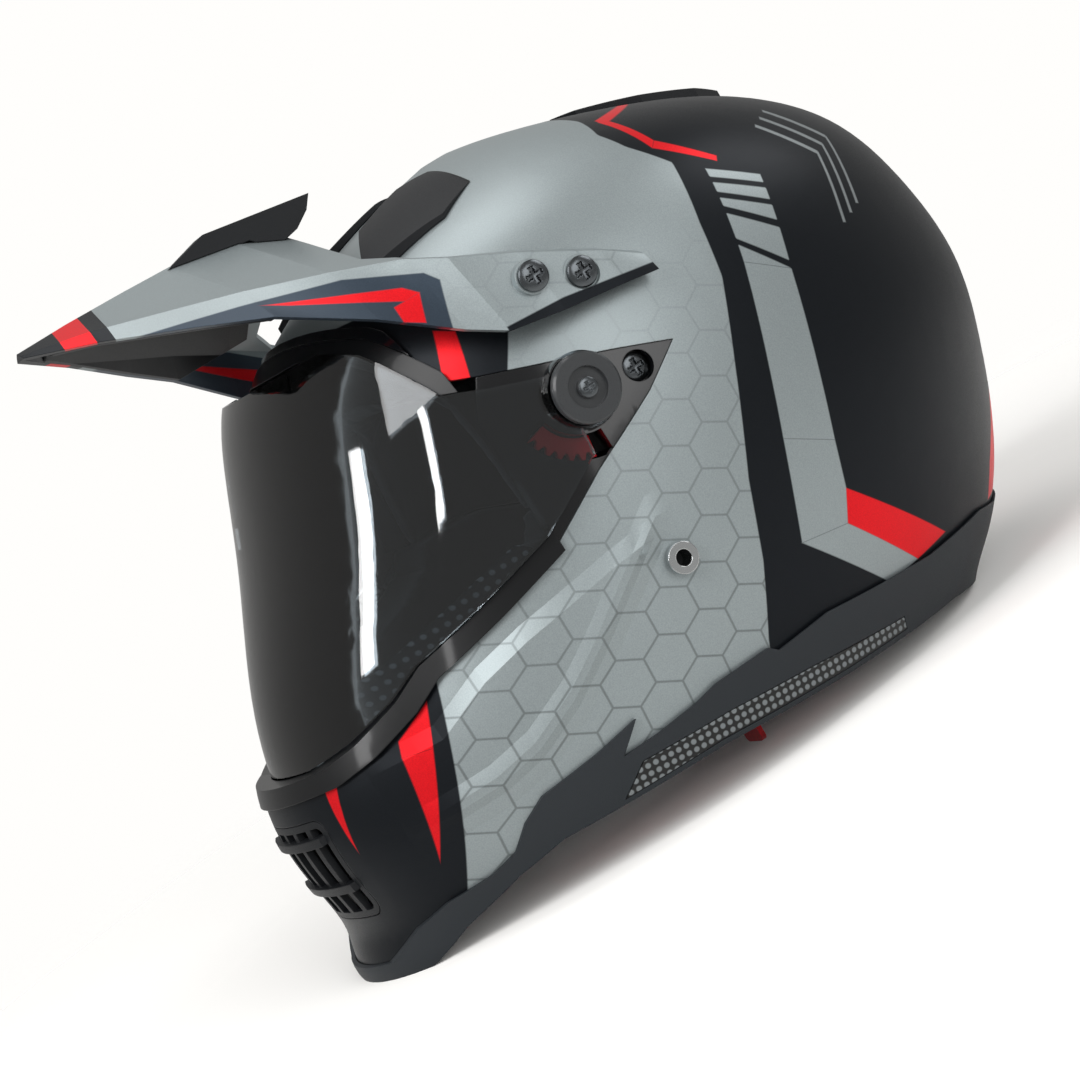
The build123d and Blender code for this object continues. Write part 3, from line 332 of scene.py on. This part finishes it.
def shell_colour(tree, x, y, z):
    """Colours the shell by its graphics."""
    fade = add(tree, "MapRange", [z, *HEX_FADE, HEX_STRENGTH, 0.0])
    lines = add(tree, "Math", [hexagons(tree, y, z), fade], operation="MULTIPLY")
    stripe, gaps = (most(tree, [inside(tree, y, z, p) for p in outlines])
                    for outlines in (STRIPE, STRIPE_GAPS))
    stripe = add(tree, "Math", [stripe, gaps], operation="SUBTRACT", use_clamp=True)
    pen = [inside(tree, y, z, [(a + run, b + rise) for a, b in outline])
           for run, rise in PEN_SHIFTS for outline in PEN_LINES]
    side = add(tree, "Math", [x], operation="ABSOLUTE")
    in_front = add(tree, "Math", [y, SPEAR_REAR], operation="LESS_THAN")
    spear = add(tree, "Math", [inside(tree, side, z, SPEAR_RED), in_front], operation="MULTIPLY")
    reds = [inside(tree, y, z, p) for p in REAR_RED + CROWN_RED + CHIN_RED + [BROW_RED]]
    return coated(tree, GREY_PAINT, [
        (lines, HEX_INK),
        (behind(tree, y, z, GREY_END, *GREY_END_LEVELS), BLACK_PAINT),
        (stripe, GREY_PAINT),
        (most(tree, pen), LINE_GREY),
        (inside(tree, y, z, CHIN_BLACK), BLACK_PAINT),
        (inside(tree, y, z, BROW_BLACK), BLACK_PAINT),
        (most(tree, reds + [spear]), RED_PAINT),
    ])


print(len(STRIPE), "pieces of stripe,", len(REAR_RED + CROWN_RED + CHIN_RED), "red patches")

# %% [markdown]
# ## Cheek relief
# The cheek has a crease below the eyeport, and under it a ridge that catches the light as a
# pale band. The shell's solid is smooth there, so the relief is a bump: two lines across the
# cheek bound a raised field, and the lower one carries the ridge. Both fade at their ends.

# %% Cheek relief
CREASE_LINE = [(75, -126), (85, -106), (90, -88), (96.5, -51), (99, -28)]
RIDGE_LINE = [(47, -139), (48.5, -119), (52.5, -103), (61.5, -85), (72, -69.5), (85, -52),
              (101, -30)]
CREASE_ENDS = (-150.0, -134.0, -42.0, -24.0)
CREASE_BLUR = 6.0
RIDGE_BLUR = 16.0


def cheek_relief(tree, y, z):
    """Gives the height of the cheek's raised field and of the ridge at its foot."""
    crease, ridge, slope = (
        behind(tree, z, y, line, line[0][1], line[-1][1], blur)
        for line, blur in ((CREASE_LINE, CREASE_BLUR), (RIDGE_LINE, CREASE_BLUR),
                           (RIDGE_LINE, RIDGE_BLUR)))
    raised = add(tree, "Math", [ridge, crease], operation="SUBTRACT", use_clamp=True)
    off = add(tree, "Math", [slope, 2.0, -1.0], operation="MULTIPLY_ADD")
    off = add(tree, "Math", [off], operation="ABSOLUTE")
    ridge_top = add(tree, "Math", [1.0, off], operation="SUBTRACT")
    front, front_full, rear_full, rear = CREASE_ENDS
    fade = add(tree, "MapRange", [y, front, front_full, 0.0, 1.0])
    fade_rear = add(tree, "MapRange", [y, rear_full, rear, 1.0, 0.0])
    fade = add(tree, "Math", [fade, fade_rear], operation="MULTIPLY")
    height = add(tree, "Math", [raised, ridge_top], operation="ADD")
    return add(tree, "Math", [height, fade], operation="MULTIPLY")


print("one full step of the cheek's relief is", round(CREASE_DEPTH / MM, 1), "mm")

# %% [markdown]
# ## Peak graphics
# The peak's roof is grey, its sides carry a blue-grey band with a red stripe, its arms have a
# black lower edge, and its tip is black with a red bar. The sides are outlines as on the shell.
# The tip's bars slant with the peak's edge, so they are cut by a line that leans with the
# distance from the middle, which is the same on both sides.

# %% Peak graphics
PEAK_BAND = [(-136, 247), (-103, 237), (-72, 226.5), (-51, 214), (-48, 208), (-56, 193),
             (-62, 180), (-140, 232)]
PEAK_RED = [
    [(-101, 234.8), (-59.5, 213.4), (-56.3, 209), (-65.4, 208.6), (-90.7, 228)],
    [(-66, 209), (-56.3, 209), (-61.6, 199), (-67.2, 203)],
]
PEAK_EDGE = [(-44, 178), (-20, 174), (18, 171), (18, 180), (-20, 182.4), (-42, 186)]
PEAK_HEX_FADE = (-60.0, 0.0)
PEAK_HEX_STRENGTH = 0.35
TIP_SLANT = 0.2
TIP_ENDS = ((-132, BLACK_PAINT), (-138, RED_PAINT), (-149, BLACK_PAINT))


def peak_colour(tree, x, y, z):
    """Colours the peak by its graphics."""
    fade = add(tree, "MapRange", [y, *PEAK_HEX_FADE, 0.0, PEAK_HEX_STRENGTH])
    lines = add(tree, "Math", [hexagons(tree, y, z), fade], operation="MULTIPLY")
    side = add(tree, "Math", [x], operation="ABSOLUTE")
    along = add(tree, "Math", [side, TIP_SLANT, y], operation="MULTIPLY_ADD")
    tip = [(add(tree, "Math", [along, end], operation="LESS_THAN"), colour)
           for end, colour in TIP_ENDS]
    return coated(tree, GREY_PAINT, [
        (lines, HEX_INK),
        (inside(tree, y, z, PEAK_BAND), BLUE_GREY_PAINT),
        (most(tree, [inside(tree, y, z, p) for p in PEAK_RED]), RED_PAINT),
        (inside(tree, y, z, PEAK_EDGE), BLACK_PAINT),
        *tip,
    ])


# Sprayed colour with fine flake: it glows softly along the form, and has no sharp glints.
shell_lacquer = painted("sprayed_shell_lacquer", shell_colour, cheek_relief)
peak_lacquer = painted("sprayed_peak_lacquer", peak_colour)
print("materials:", shell_lacquer.name, peak_lacquer.name)

# %% [markdown]
# ## Moulded and plated pieces
# The trim, vents, caps and levers are injection moulded, the rivets and screws are plated. An
# image of grain could be wrapped round each, but a noise measured in mm needs no unwrapping and
# looks the same on every piece. One recipe gives them all a fine grain, a slightly uneven
# roughness and rounded edges, and each is then matched by its own colour, gloss and grain. A
# mould's grain is about 0.1 mm, and is drawn at 0.3 mm here so that it shows.

# %% Moulded materials
GRAIN_SCALE = 3.0
BEAD_SCALE = 0.5
GRAIN_DEPTH = 0.15 * MM
DULLER, SHINIER = 1.15, 0.85


def moulded(name, colour, roughness, grain, scale=GRAIN_SCALE, coat=0.0, metallic=0.0):
    """Makes a moulded or plated material with a fine grain."""
    material, tree, place, _ = start(name)
    speck = add(tree, "TexNoise", {"Vector": place, "Scale": scale, "Detail": 3.0})
    rounded = add(tree, "Bevel", {"Radius": EDGE_ROUND}, samples=4)
    bump = add(tree, "Bump", {"Strength": grain, "Distance": GRAIN_DEPTH, "Height": speck,
                              "Normal": rounded})
    rough = add(tree, "MapRange", [speck, NOISE_LOW, NOISE_HIGH, roughness * SHINIER,
                                   roughness * DULLER])
    surface(tree, Base_Color=colour, Roughness=rough, Normal=bump, Coat_Weight=coat,
            Coat_Roughness=0.08, Metallic=metallic, Specular_IOR_Level=0.25)
    return material


# Moulded polypropylene with a coarse grain: dark grey and dull, lighter than the vents.
rim_polypropylene = moulded("moulded_polypropylene", "#2b2f33", 0.52, 0.35)
# Moulded ABS with a fine grain: near black, with a broad dull sheen that shows the facets.
vent_abs = moulded("moulded_grained_abs", "#17191c", 0.48, 0.3)
# ABS from a polished mould: almost black, and it mirrors the lamps sharply.
gloss_abs = moulded("polished_black_abs", "#0c0d10", 0.16, 0.02, coat=0.6)
# Extruded rubber: black and smooth, with a soft narrow highlight along the lip.
gasket_rubber = moulded("extruded_rubber", "#0d0e10", 0.34, 0.05, coat=0.2)
# Moulded nylon, satin: a dark grey disc with a clear but soft highlight.
cap_nylon = moulded("moulded_satin_nylon", "#3a3c3e", 0.3, 0.08, coat=0.4)
# The same nylon dyed through in red: even, strong colour, also in its teeth.
lever_nylon = moulded("moulded_red_nylon", "#f01c28", 0.35, 0.05)
# Polystyrene beads, steamed together in a mould: black, matt, with beads about 2 mm wide.
bead_foam = moulded("moulded_polystyrene_foam", "#141414", 0.85, 0.8, scale=BEAD_SCALE)
# Steel, zinc plated and darkened: a grey metal with a small soft highlight.
screw_steel = moulded("dark_plated_steel", "#5d6164", 0.24, 0.05, metallic=1.0)
# Steel, chrome plated and polished: it mirrors the room.
rivet_chrome = moulded("polished_chrome_plate", "#c9cccd", 0.12, 0.02, metallic=1.0)
print("the foam's beads are", round(1 / BEAD_SCALE), "mm wide, the grain",
      round(1 / GRAIN_SCALE, 2), "mm")

# %% [markdown]
# ## Dotted mesh
# A strip of mesh lies in the band at each side of the rim, with a row of bright studs every
# 3 mm. Studs could be modelled, but they are under 2 mm wide, so they are drawn as round dots
# on a grid that follows the slope of the strip.

# %% Side mesh
MESH_PITCH = 3.0
MESH_DOT = 0.8
MESH_EDGE = 0.4
MESH_SLOPE = -0.093
MESH_BLACK = "#0a0b0c"
MESH_STUD = "#8f9598"

# Moulded black mesh with plated studs: dark, with a fine regular sparkle.
dotted_mesh, tree, _, (_, y, z) = start("moulded_studded_mesh")
level = add(tree, "Math", [y, -MESH_SLOPE, z], operation="MULTIPLY_ADD")
stud = dotted(tree, y, level, MESH_PITCH, MESH_DOT, MESH_EDGE)
surface(tree, Base_Color=coated(tree, MESH_BLACK, [(stud, MESH_STUD)]), Roughness=0.35,
        Metallic=stud)
print("studs", 2 * MESH_DOT, "mm wide, every", MESH_PITCH, "mm")

# %% [markdown]
# ## Smoked shield
# The shield is a thin sheet of smoked polycarbonate, polished on both faces. A Glass shader
# could be used, but the lamps don't shine through it, so what lies behind would be dark. Here a
# clear tint lets light and view through unbent, and a sharp gloss over it grows where the sheet
# turns away, as its IOR says.

# %% Smoked shield
SMOKE_TINT = "#c3c9cd"
POLYCARBONATE_IOR = 1.58
POLISH = 0.03

# Polished polycarbonate: grey in a straight view, and mirror bright where it turns away.
smoked_shield, tree, _, _ = start("polished_smoke_polycarbonate")
clear = add(tree, "BsdfTransparent", [SMOKE_TINT])
shine = add(tree, "BsdfGlossy", {"Color": "#ffffff", "Roughness": POLISH})
facing = add(tree, "Fresnel", {"IOR": POLYCARBONATE_IOR})
add(tree, "OutputMaterial", [add(tree, "MixShader", [facing, clear, shine])])
print("IOR of the shield", POLYCARBONATE_IOR)

# %% [markdown]
# ## Finish of each piece
# Each rigid CAD piece gets the material of the real one. A long list of every node could say
# so, but left and right pieces share the start of their name, so the longest part of a name
# that this list knows decides.

# %% Finishes
FINISHES = {
    "outer_shell": shell_lacquer,
    "peak": peak_lacquer,
    "peak_underside": vent_abs,
    "peak_fin": vent_abs,
    "forehead_scoop": vent_abs,
    "rear_vent_housing": vent_abs,
    "chin_vent": vent_abs,
    "rim_trim": rim_polypropylene,
    "side_mesh": dotted_mesh,
    "eyeport_gasket": gasket_rubber,
    "brow_trim": gloss_abs,
    "side_plate": gloss_abs,
    "pivot_cap": cap_nylon,
    "release_lever": lever_nylon,
    "face_shield": smoked_shield,
    "eps_liner": bead_foam,
    "chin_eps": bead_foam,
    "screws": screw_steel,
    "strap_rivets": rivet_chrome,
    "d_rings": rivet_chrome,
}
for name, node in nodes.items():
    node.data.materials.clear()
    named = [part for part in FINISHES if part in name]
    if named:
        node.data.materials.append(FINISHES[max(named, key=len)])
print("nodes with no finish yet:", [n for n, o in nodes.items() if not o.data.materials])

# %% [markdown]
# ## Fabrics
# The pads are covered in brushed knit, the straps are woven webbing. Threads could be hairs or
# curves, but at this distance a bump of two crossed waves gives the same broken surface, and a
# slow noise gives the patches where the nap lies another way. The Wave texture repeats every
# 0.31 units, so the sizes here give threads 0.28 mm apart in the knit, and 0.44 mm and 0.38 mm
# in webbing and tape. These are near the real ones, and show only close up.

# %% Fabrics
WAVE_REPEAT = tau / 20
KNIT_SIZE = 0.9
WEBBING_SIZE = 1.4
TAPE_SIZE = 1.2
THREAD_DEPTH = 0.25 * MM
NAP_SCALE = 0.4
NAP_DIM, NAP_BRIGHT = 0.75, 1.15
SPLIT_SOFT = 1.5


def woven(name, colour, size=KNIT_SIZE, second=None, split=0.0):
    """Makes a fabric with a fine weave, in a second colour below a height in mm."""
    material, tree, place, (_, _, z) = start(name)
    weave = add(tree, "Math", [
        add(tree, "TexWave", {"Vector": place, "Scale": 1 / size, "Distortion": 1.0,
                              "Detail": 1.0}, bands_direction=way) for way in ("Y", "Z")],
        operation="MAXIMUM")
    nap = add(tree, "TexNoise", {"Vector": place, "Scale": NAP_SCALE, "Detail": 4.0})
    shade = add(tree, "MapRange", [nap, NOISE_LOW, NOISE_HIGH, NAP_DIM, NAP_BRIGHT])
    base = linear(colour)[:3]
    if second:
        low = add(tree, "MapRange", [z, split, split + SPLIT_SOFT, 1.0, 0.0])
        base = coated(tree, colour, [(low, second)])
    base = add(tree, "VectorMath", {0: base, 3: shade}, operation="SCALE")
    bump = add(tree, "Bump", {"Strength": 0.5, "Distance": THREAD_DEPTH, "Height": weave})
    surface(tree, Base_Color=base, Roughness=0.9, Normal=bump, Sheen_Weight=0.3)
    return material


# Brushed polyester knit: black that turns greyer towards its edges, as its nap catches light.
liner_knit = woven("brushed_black_knit", "#1c1d20")
# The same knit on the cheek pads, with a red part under a seam 34 mm above the floor.
pad_knit = woven("brushed_black_and_red_knit", "#1b1c1e", second="#c41a24", split=34.0)
# Woven polyester webbing: black, coarser, with visible ribs.
webbing = woven("woven_polyester_webbing", "#151618", size=WEBBING_SIZE)
# Woven tape: bright red, with a fine rib.
red_tape = woven("woven_red_tape", "#d0222c", size=TAPE_SIZE)
print("threads in mm:", [round(size * WAVE_REPEAT, 2)
                         for size in (KNIT_SIZE, WEBBING_SIZE, TAPE_SIZE)])

# %% [markdown]
# ## Guard cloth
# The soft wall behind the lower shield is a foam-backed cloth with pale stitches in a grid. The
# stitches are flat on it, so they are dots of colour, and no thread is modelled.

# %% Guard cloth
GUARD_PITCH = 4.0
GUARD_STITCH = 0.7
GUARD_EDGE = 0.5
GUARD_BLACK = "#1a1b1d"
GUARD_THREAD = "#9a9ea0"

# Stitched polyester cloth: matt black, with small pale points.
stitched_cloth, tree, _, (_, y, z) = start("stitched_polyester_cloth")
stitch = dotted(tree, y, z, GUARD_PITCH, GUARD_STITCH, GUARD_EDGE)
surface(tree, Base_Color=coated(tree, GUARD_BLACK, [(stitch, GUARD_THREAD)]), Roughness=0.8)
print("stitches every", GUARD_PITCH, "mm")

# %% [markdown]
# ## Pads
# Cheek pads, liner and neck roll are foam in fabric, quilted by seams. They could be sculpted or
# blown up by a cloth simulation, but they have to keep to the room of the CAD solids. So each
# starts from its solid: Remesh makes a fine even skin, Smooth draws the edges round, and
# then the points near a seam are pushed in along their normals, which gives the channels.

# %% Pads
PAD_VOXEL = 2.4 * MM
PAD_ROUNDS = 6
PAD_DEPTH = 2.0 * MM
CHEEK_LEAN = 0.4
CHEEK_SEAMS = (26.0, 3.0)
LINER_SEAMS = (34.0, 3.5)
NECK_SEAMS = (30.0, 3.0)


def soft_copy(node, voxel, rounds, channel=None, depth=0.0):
    """Makes a soft piece in a CAD solid's room: an even skin, rounded, with channels."""
    name = node + "_soft"
    piece = bpy.data.objects.new(name, nodes[node].data.copy())
    bpy.context.scene.collection.objects.link(piece)
    even = piece.modifiers.new("even", "REMESH")
    even.mode, even.voxel_size = "VOXEL", voxel
    smooth = piece.modifiers.new("smooth", "SMOOTH")
    smooth.factor, smooth.iterations = 0.5, rounds
    made = bpy.data.meshes.new_from_object(
        piece.evaluated_get(bpy.context.evaluated_depsgraph_get()))
    piece.modifiers.clear()
    piece.data = made
    made.name = name
    if channel:
        places = [vertex.co - vertex.normal * depth * channel(vertex.co / MM)
                  for vertex in made.vertices]
        made.vertices.foreach_set("co", [c for place in places for c in place])
        made.update()
    made.shade_smooth()
    made.materials.clear()
    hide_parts(node)
    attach(piece, "helmet")
    return piece


def groove(value, pitch, width):
    """Gives 1 in the middle of a channel that repeats at this pitch, falling to 0 beside it."""
    off = abs((value / pitch) % 1.0 - HALF) * pitch
    return max(0.0, 1.0 - off / width) ** 2


def cheek_seams(p):
    """Gives the depth of the cheek pads' leaning channels."""
    return groove(p.z + CHEEK_LEAN * p.y, *CHEEK_SEAMS)


pads = {
    "cheek_pad_left": (pad_knit, cheek_seams),
    "cheek_pad_right": (pad_knit, cheek_seams),
    "comfort_liner": (liner_knit, lambda p: groove(p.x, *LINER_SEAMS)),
    "neck_roll": (liner_knit, lambda p: groove(p.x, *NECK_SEAMS)),
}
for node, (fabric, channel) in pads.items():
    pad = soft_copy(node, PAD_VOXEL, PAD_ROUNDS, channel, PAD_DEPTH)
    pad.data.materials.append(fabric)
    print(pad.name, len(pad.data.vertices), "points")

# %% [markdown]
# ## Breath guard
# The guard is a thin soft wall on the chin's foam. It is made as the pads are, with a finer skin
# because it is thin, fewer rounds of smoothing so that its corners stay, and no channels.

# %% Breath guard
GUARD_VOXEL = 1.1 * MM
GUARD_ROUNDS = 3

guard = soft_copy("breath_guard", GUARD_VOXEL, GUARD_ROUNDS)
guard.data.materials.append(stitched_cloth)
print(guard.name, len(guard.data.vertices), "points")

# %% [markdown]
# ## Straps
# The chin strap is flat webbing from the rivets over the cheek to the rings. A curve with a
# bevel could make it, but a band of eight points round, swept along a few points of the front
# view, keeps the webbing's slightly raised middle and lies just where the CAD strap does.

# %% Straps
STRAP_HALF = 11.5 * MM
STRAP_HALF_WALL = 0.7 * MM
STRAP_POINTS = ((112.6, 92), (111.6, 70), (108.6, 50), (105.0, 38), (100.8, 32), (84, 27.2),
                (67.2, 19.7), (58.6, 15.0))
STRAP_MIDDLE = -30 * MM
STRAP_STEPS = 6
STRAP_SECTION = ((-1, 1), (-0.9, 1.15), (0.9, 1.15), (1, 1), (1, -1), (0.9, -1.15),
                 (-0.9, -1.15), (-1, -1))


def tube(shape, rows):
    """Joins rows of points into the walls of a tube."""
    for low, high in zip(rows, rows[1:]):
        for i in range(len(low)):
            j = (i + 1) % len(low)
            shape.faces.new((low[i], low[j], high[j], high[i]))


def ribbon(name, points, material, node):
    """Makes a flat strap along points in mm of the front view, with a thickness."""
    corners = [Vector((x, 0, z)) for x, z in points]
    line = [a + (b - a) * (i / STRAP_STEPS)
            for a, b in zip(corners, corners[1:]) for i in range(STRAP_STEPS)] + corners[-1:]
    shape = bmesh.new()
    rows = []
    for i, point in enumerate(line):
        run = (line[min(i + 1, len(line) - 1)] - line[max(i - 1, 0)]).normalized()
        out = Vector((-run.z, 0, run.x)) * STRAP_HALF_WALL
        places = [(point * MM + out * lift, STRAP_MIDDLE + STRAP_HALF * share)
                  for share, lift in STRAP_SECTION]
        rows.append([shape.verts.new((place.x, y, place.z)) for place, y in places])
    tube(shape, rows)
    shape.faces.new(rows[0][::-1])
    shape.faces.new(rows[-1])
    bmesh.ops.recalc_face_normals(shape, faces=shape.faces)
    mesh = bpy.data.meshes.new(name)
    shape.to_mesh(mesh)
    mesh.shade_smooth()
    strap = bpy.data.objects.new(name, mesh)
    bpy.context.scene.collection.objects.link(strap)
    mesh.materials.append(material)
    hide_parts(node)
    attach(strap, "helmet")
    return strap


for name, side in (("left", 1), ("right", -1)):
    strap = ribbon(f"chin_strap_{name}_webbing", [(x * side, z) for x, z in STRAP_POINTS],
                   webbing, f"chin_strap_{name}")
    print(strap.name, len(strap.data.vertices), "points")
nodes["strap_tab"].data.materials.append(red_tape)

# %% [markdown]
# ## Screws
# Each screw is a plated steel pan head, pressed with a cross for the driver. The CAD has its
# head and shank as plain discs. A cross could be cut with a Boolean, but that leaves ragged
# shading on a dome, so rings of points are turned up, and those in the cross are pressed in.

# %% Screws
HEAD_STEPS = 48
HEAD_RINGS = (0.0, 0.10, 0.15, 0.25, 0.40, 0.50, 0.56, 0.62, 0.75, 0.86, 0.94, 0.98, 1.0)
HEAD_FALL = 0.45
HEAD_ROUND = 4
CROSS_ARM = 0.56
CROSS_HALF = 0.15
CROSS_DEPTH = 0.5
CROSS_FALL = 0.4
WELD = 0.01 * MM
SHARP_ANGLE = radians(30)
# For each node: the seat's distance from the middle, the radius and height, and the places.
SCREWS = {
    "plate_screws": (114.1, 5.4, 2.6, [(-7.0, 148.5)]),
    "peak_screws": (121.1, 5.6, 2.6, [(-25.0, 194.0), (-8.5, 186.5)]),
    "cap_screws": (125.2, 3.6, 1.2, [(-30.0, 152.0)]),
}


def in_cross(y, z):
    """Tells whether a place on a unit head lies in the driver's cross."""
    near, far = sorted((abs(y), abs(z)))
    return near < CROSS_HALF and far < CROSS_ARM


def screw_head(shape, side, seat, radius, height, y, z):
    """Adds a domed head with a cross pressed in, looking out of the helmet's side."""
    rows = []
    for share in HEAD_RINGS:
        top = seat + height * (1 - HEAD_FALL * share ** HEAD_ROUND)
        cut = height * CROSS_DEPTH * (1 - CROSS_FALL * share)
        row = []
        for i in range(HEAD_STEPS):
            turn = tau * i / HEAD_STEPS
            head_y, head_z = share * cos(turn), share * sin(turn)
            x = top - cut if in_cross(head_y, head_z) else top
            row.append(shape.verts.new((side * x * MM, (y + radius * head_y) * MM,
                                        (z + radius * head_z) * MM)))
        rows.append(row)
    rows.append([shape.verts.new((side * seat * MM, v.co.y, v.co.z)) for v in rows[-1]])
    tube(shape, rows)
    shape.faces.new(rows[-1])


for node, (seat, radius, height, places) in SCREWS.items():
    shape = bmesh.new()
    for side in (-1, 1):
        for y, z in places:
            screw_head(shape, side, seat, radius, height, y, z)
    bmesh.ops.remove_doubles(shape, verts=shape.verts, dist=WELD)
    bmesh.ops.recalc_face_normals(shape, faces=shape.faces)
    mesh = bpy.data.meshes.new(node + "_heads")
    shape.to_mesh(mesh)
    mesh.shade_smooth()
    mesh.set_sharp_from_angle(angle=SHARP_ANGLE)
    heads = bpy.data.objects.new(node + "_heads", mesh)
    bpy.context.scene.collection.objects.link(heads)
    mesh.materials.append(screw_steel)
    if node in nodes:
        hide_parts(node)
    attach(heads, "helmet")
    print(heads.name, len(mesh.vertices), "points")

# %% [markdown]
# ## Floor
# The photo has a white ground with hardly a shadow. A floor that ends in the picture would show
# its edge, so this sheet of paper is large and fades out to clear a short way off the helmet.

# %% Floor
FLOOR_SIZE = 2.0
FLOOR_NEAR = 260.0
FLOOR_FAR = 620.0
PAPER_WHITE = "#f6f5f3"
PAPER_ROUGH = 0.9

corners = [(x * FLOOR_SIZE, y * FLOOR_SIZE, 0) for x, y in ((-1, -1), (1, -1), (1, 1), (-1, 1))]
floor_mesh = bpy.data.meshes.new("floor")
floor_mesh.from_pydata(corners, [], [(0, 1, 2, 3)])
floor = bpy.data.objects.new("floor", floor_mesh)
bpy.context.scene.collection.objects.link(floor)
# Uncoated paper: an even, dull white that takes a soft shadow.
floor_paper, tree, place, _ = start("uncoated_paper")
reach = add(tree, "VectorMath", [place], 1, operation="LENGTH")
fade = add(tree, "MapRange", [reach, FLOOR_NEAR, FLOOR_FAR, 0.0, 1.0])
paper = add(tree, "BsdfDiffuse", {"Color": PAPER_WHITE, "Roughness": PAPER_ROUGH})
clear = add(tree, "BsdfTransparent", ["#ffffff"])
add(tree, "OutputMaterial", [add(tree, "MixShader", [fade, paper, clear])])
floor_mesh.materials.append(floor_paper)
print("the paper fades from", FLOOR_NEAR, "to", FLOOR_FAR, "mm from the middle")

# %% [markdown]
# ## Room
# The room is white to the camera and through the shield, at a strength of 1, and dimmer for the
# light that it sends to the helmet, so that the background's white doesn't wash out the paint.

# %% Room
ROOM_LIGHT = 0.4
ROOM_WHITE = "#fffefc"

world = bpy.data.worlds.new("studio")
bpy.context.scene.world = world
world.use_nodes = True
tree = world.node_tree
tree.nodes.clear()
rays = add(tree, "LightPath").node.outputs
seen = add(tree, "Math", [rays["Is Camera Ray"], rays["Is Transmission Ray"]],
           operation="MAXIMUM")
strength = add(tree, "Math", [seen, 1.0 - ROOM_LIGHT, ROOM_LIGHT], operation="MULTIPLY_ADD")
light = add(tree, "Background", {"Color": ROOM_WHITE, "Strength": strength})
add(tree, "OutputWorld", [light])
print("the room lights the helmet at", ROOM_LIGHT)

# %% [markdown]
# ## Lamps
# Four large soft lamps stand round the helmet, the strongest in front and to its left, as in a
# photographer's tent. Two small tall ones stand for windows, which give the glossy pieces
# their pale bars. Area lamps are chosen because their size gives soft edges.

# %% Lamps
# For each lamp: its place, width and height in metres, and its power in watts.
LIGHTS = {
    "key": ((0.9, -1.3, 1.5), 1.0, 1.0, 17.0),
    "side": ((1.7, 0.2, 0.7), 1.1, 1.1, 9.0),
    "rear": ((0.5, 1.6, 1.1), 0.9, 0.9, 7.0),
    "top": ((-0.2, 0.0, 1.9), 1.2, 1.2, 10.0),
    "narrow_window": ((0.87, -1.24, 0.75), 0.07, 0.30, 1.2),
    "wide_window": ((0.10, -1.50, 0.71), 0.16, 0.36, 2.6),
}
for name, (place, width, height, power) in LIGHTS.items():
    lamp = bpy.data.objects.new(name, bpy.data.lights.new(name, "AREA"))
    lamp.data.shape = "RECTANGLE"
    lamp.data.size, lamp.data.size_y, lamp.data.energy = width, height, power
    lamp.location = place
    lamp.rotation_euler = (CAMERA_TARGET - Vector(place)).to_track_quat("-Z", "Y").to_euler()
    bpy.context.scene.collection.objects.link(lamp)
print(len(LIGHTS), "lights")
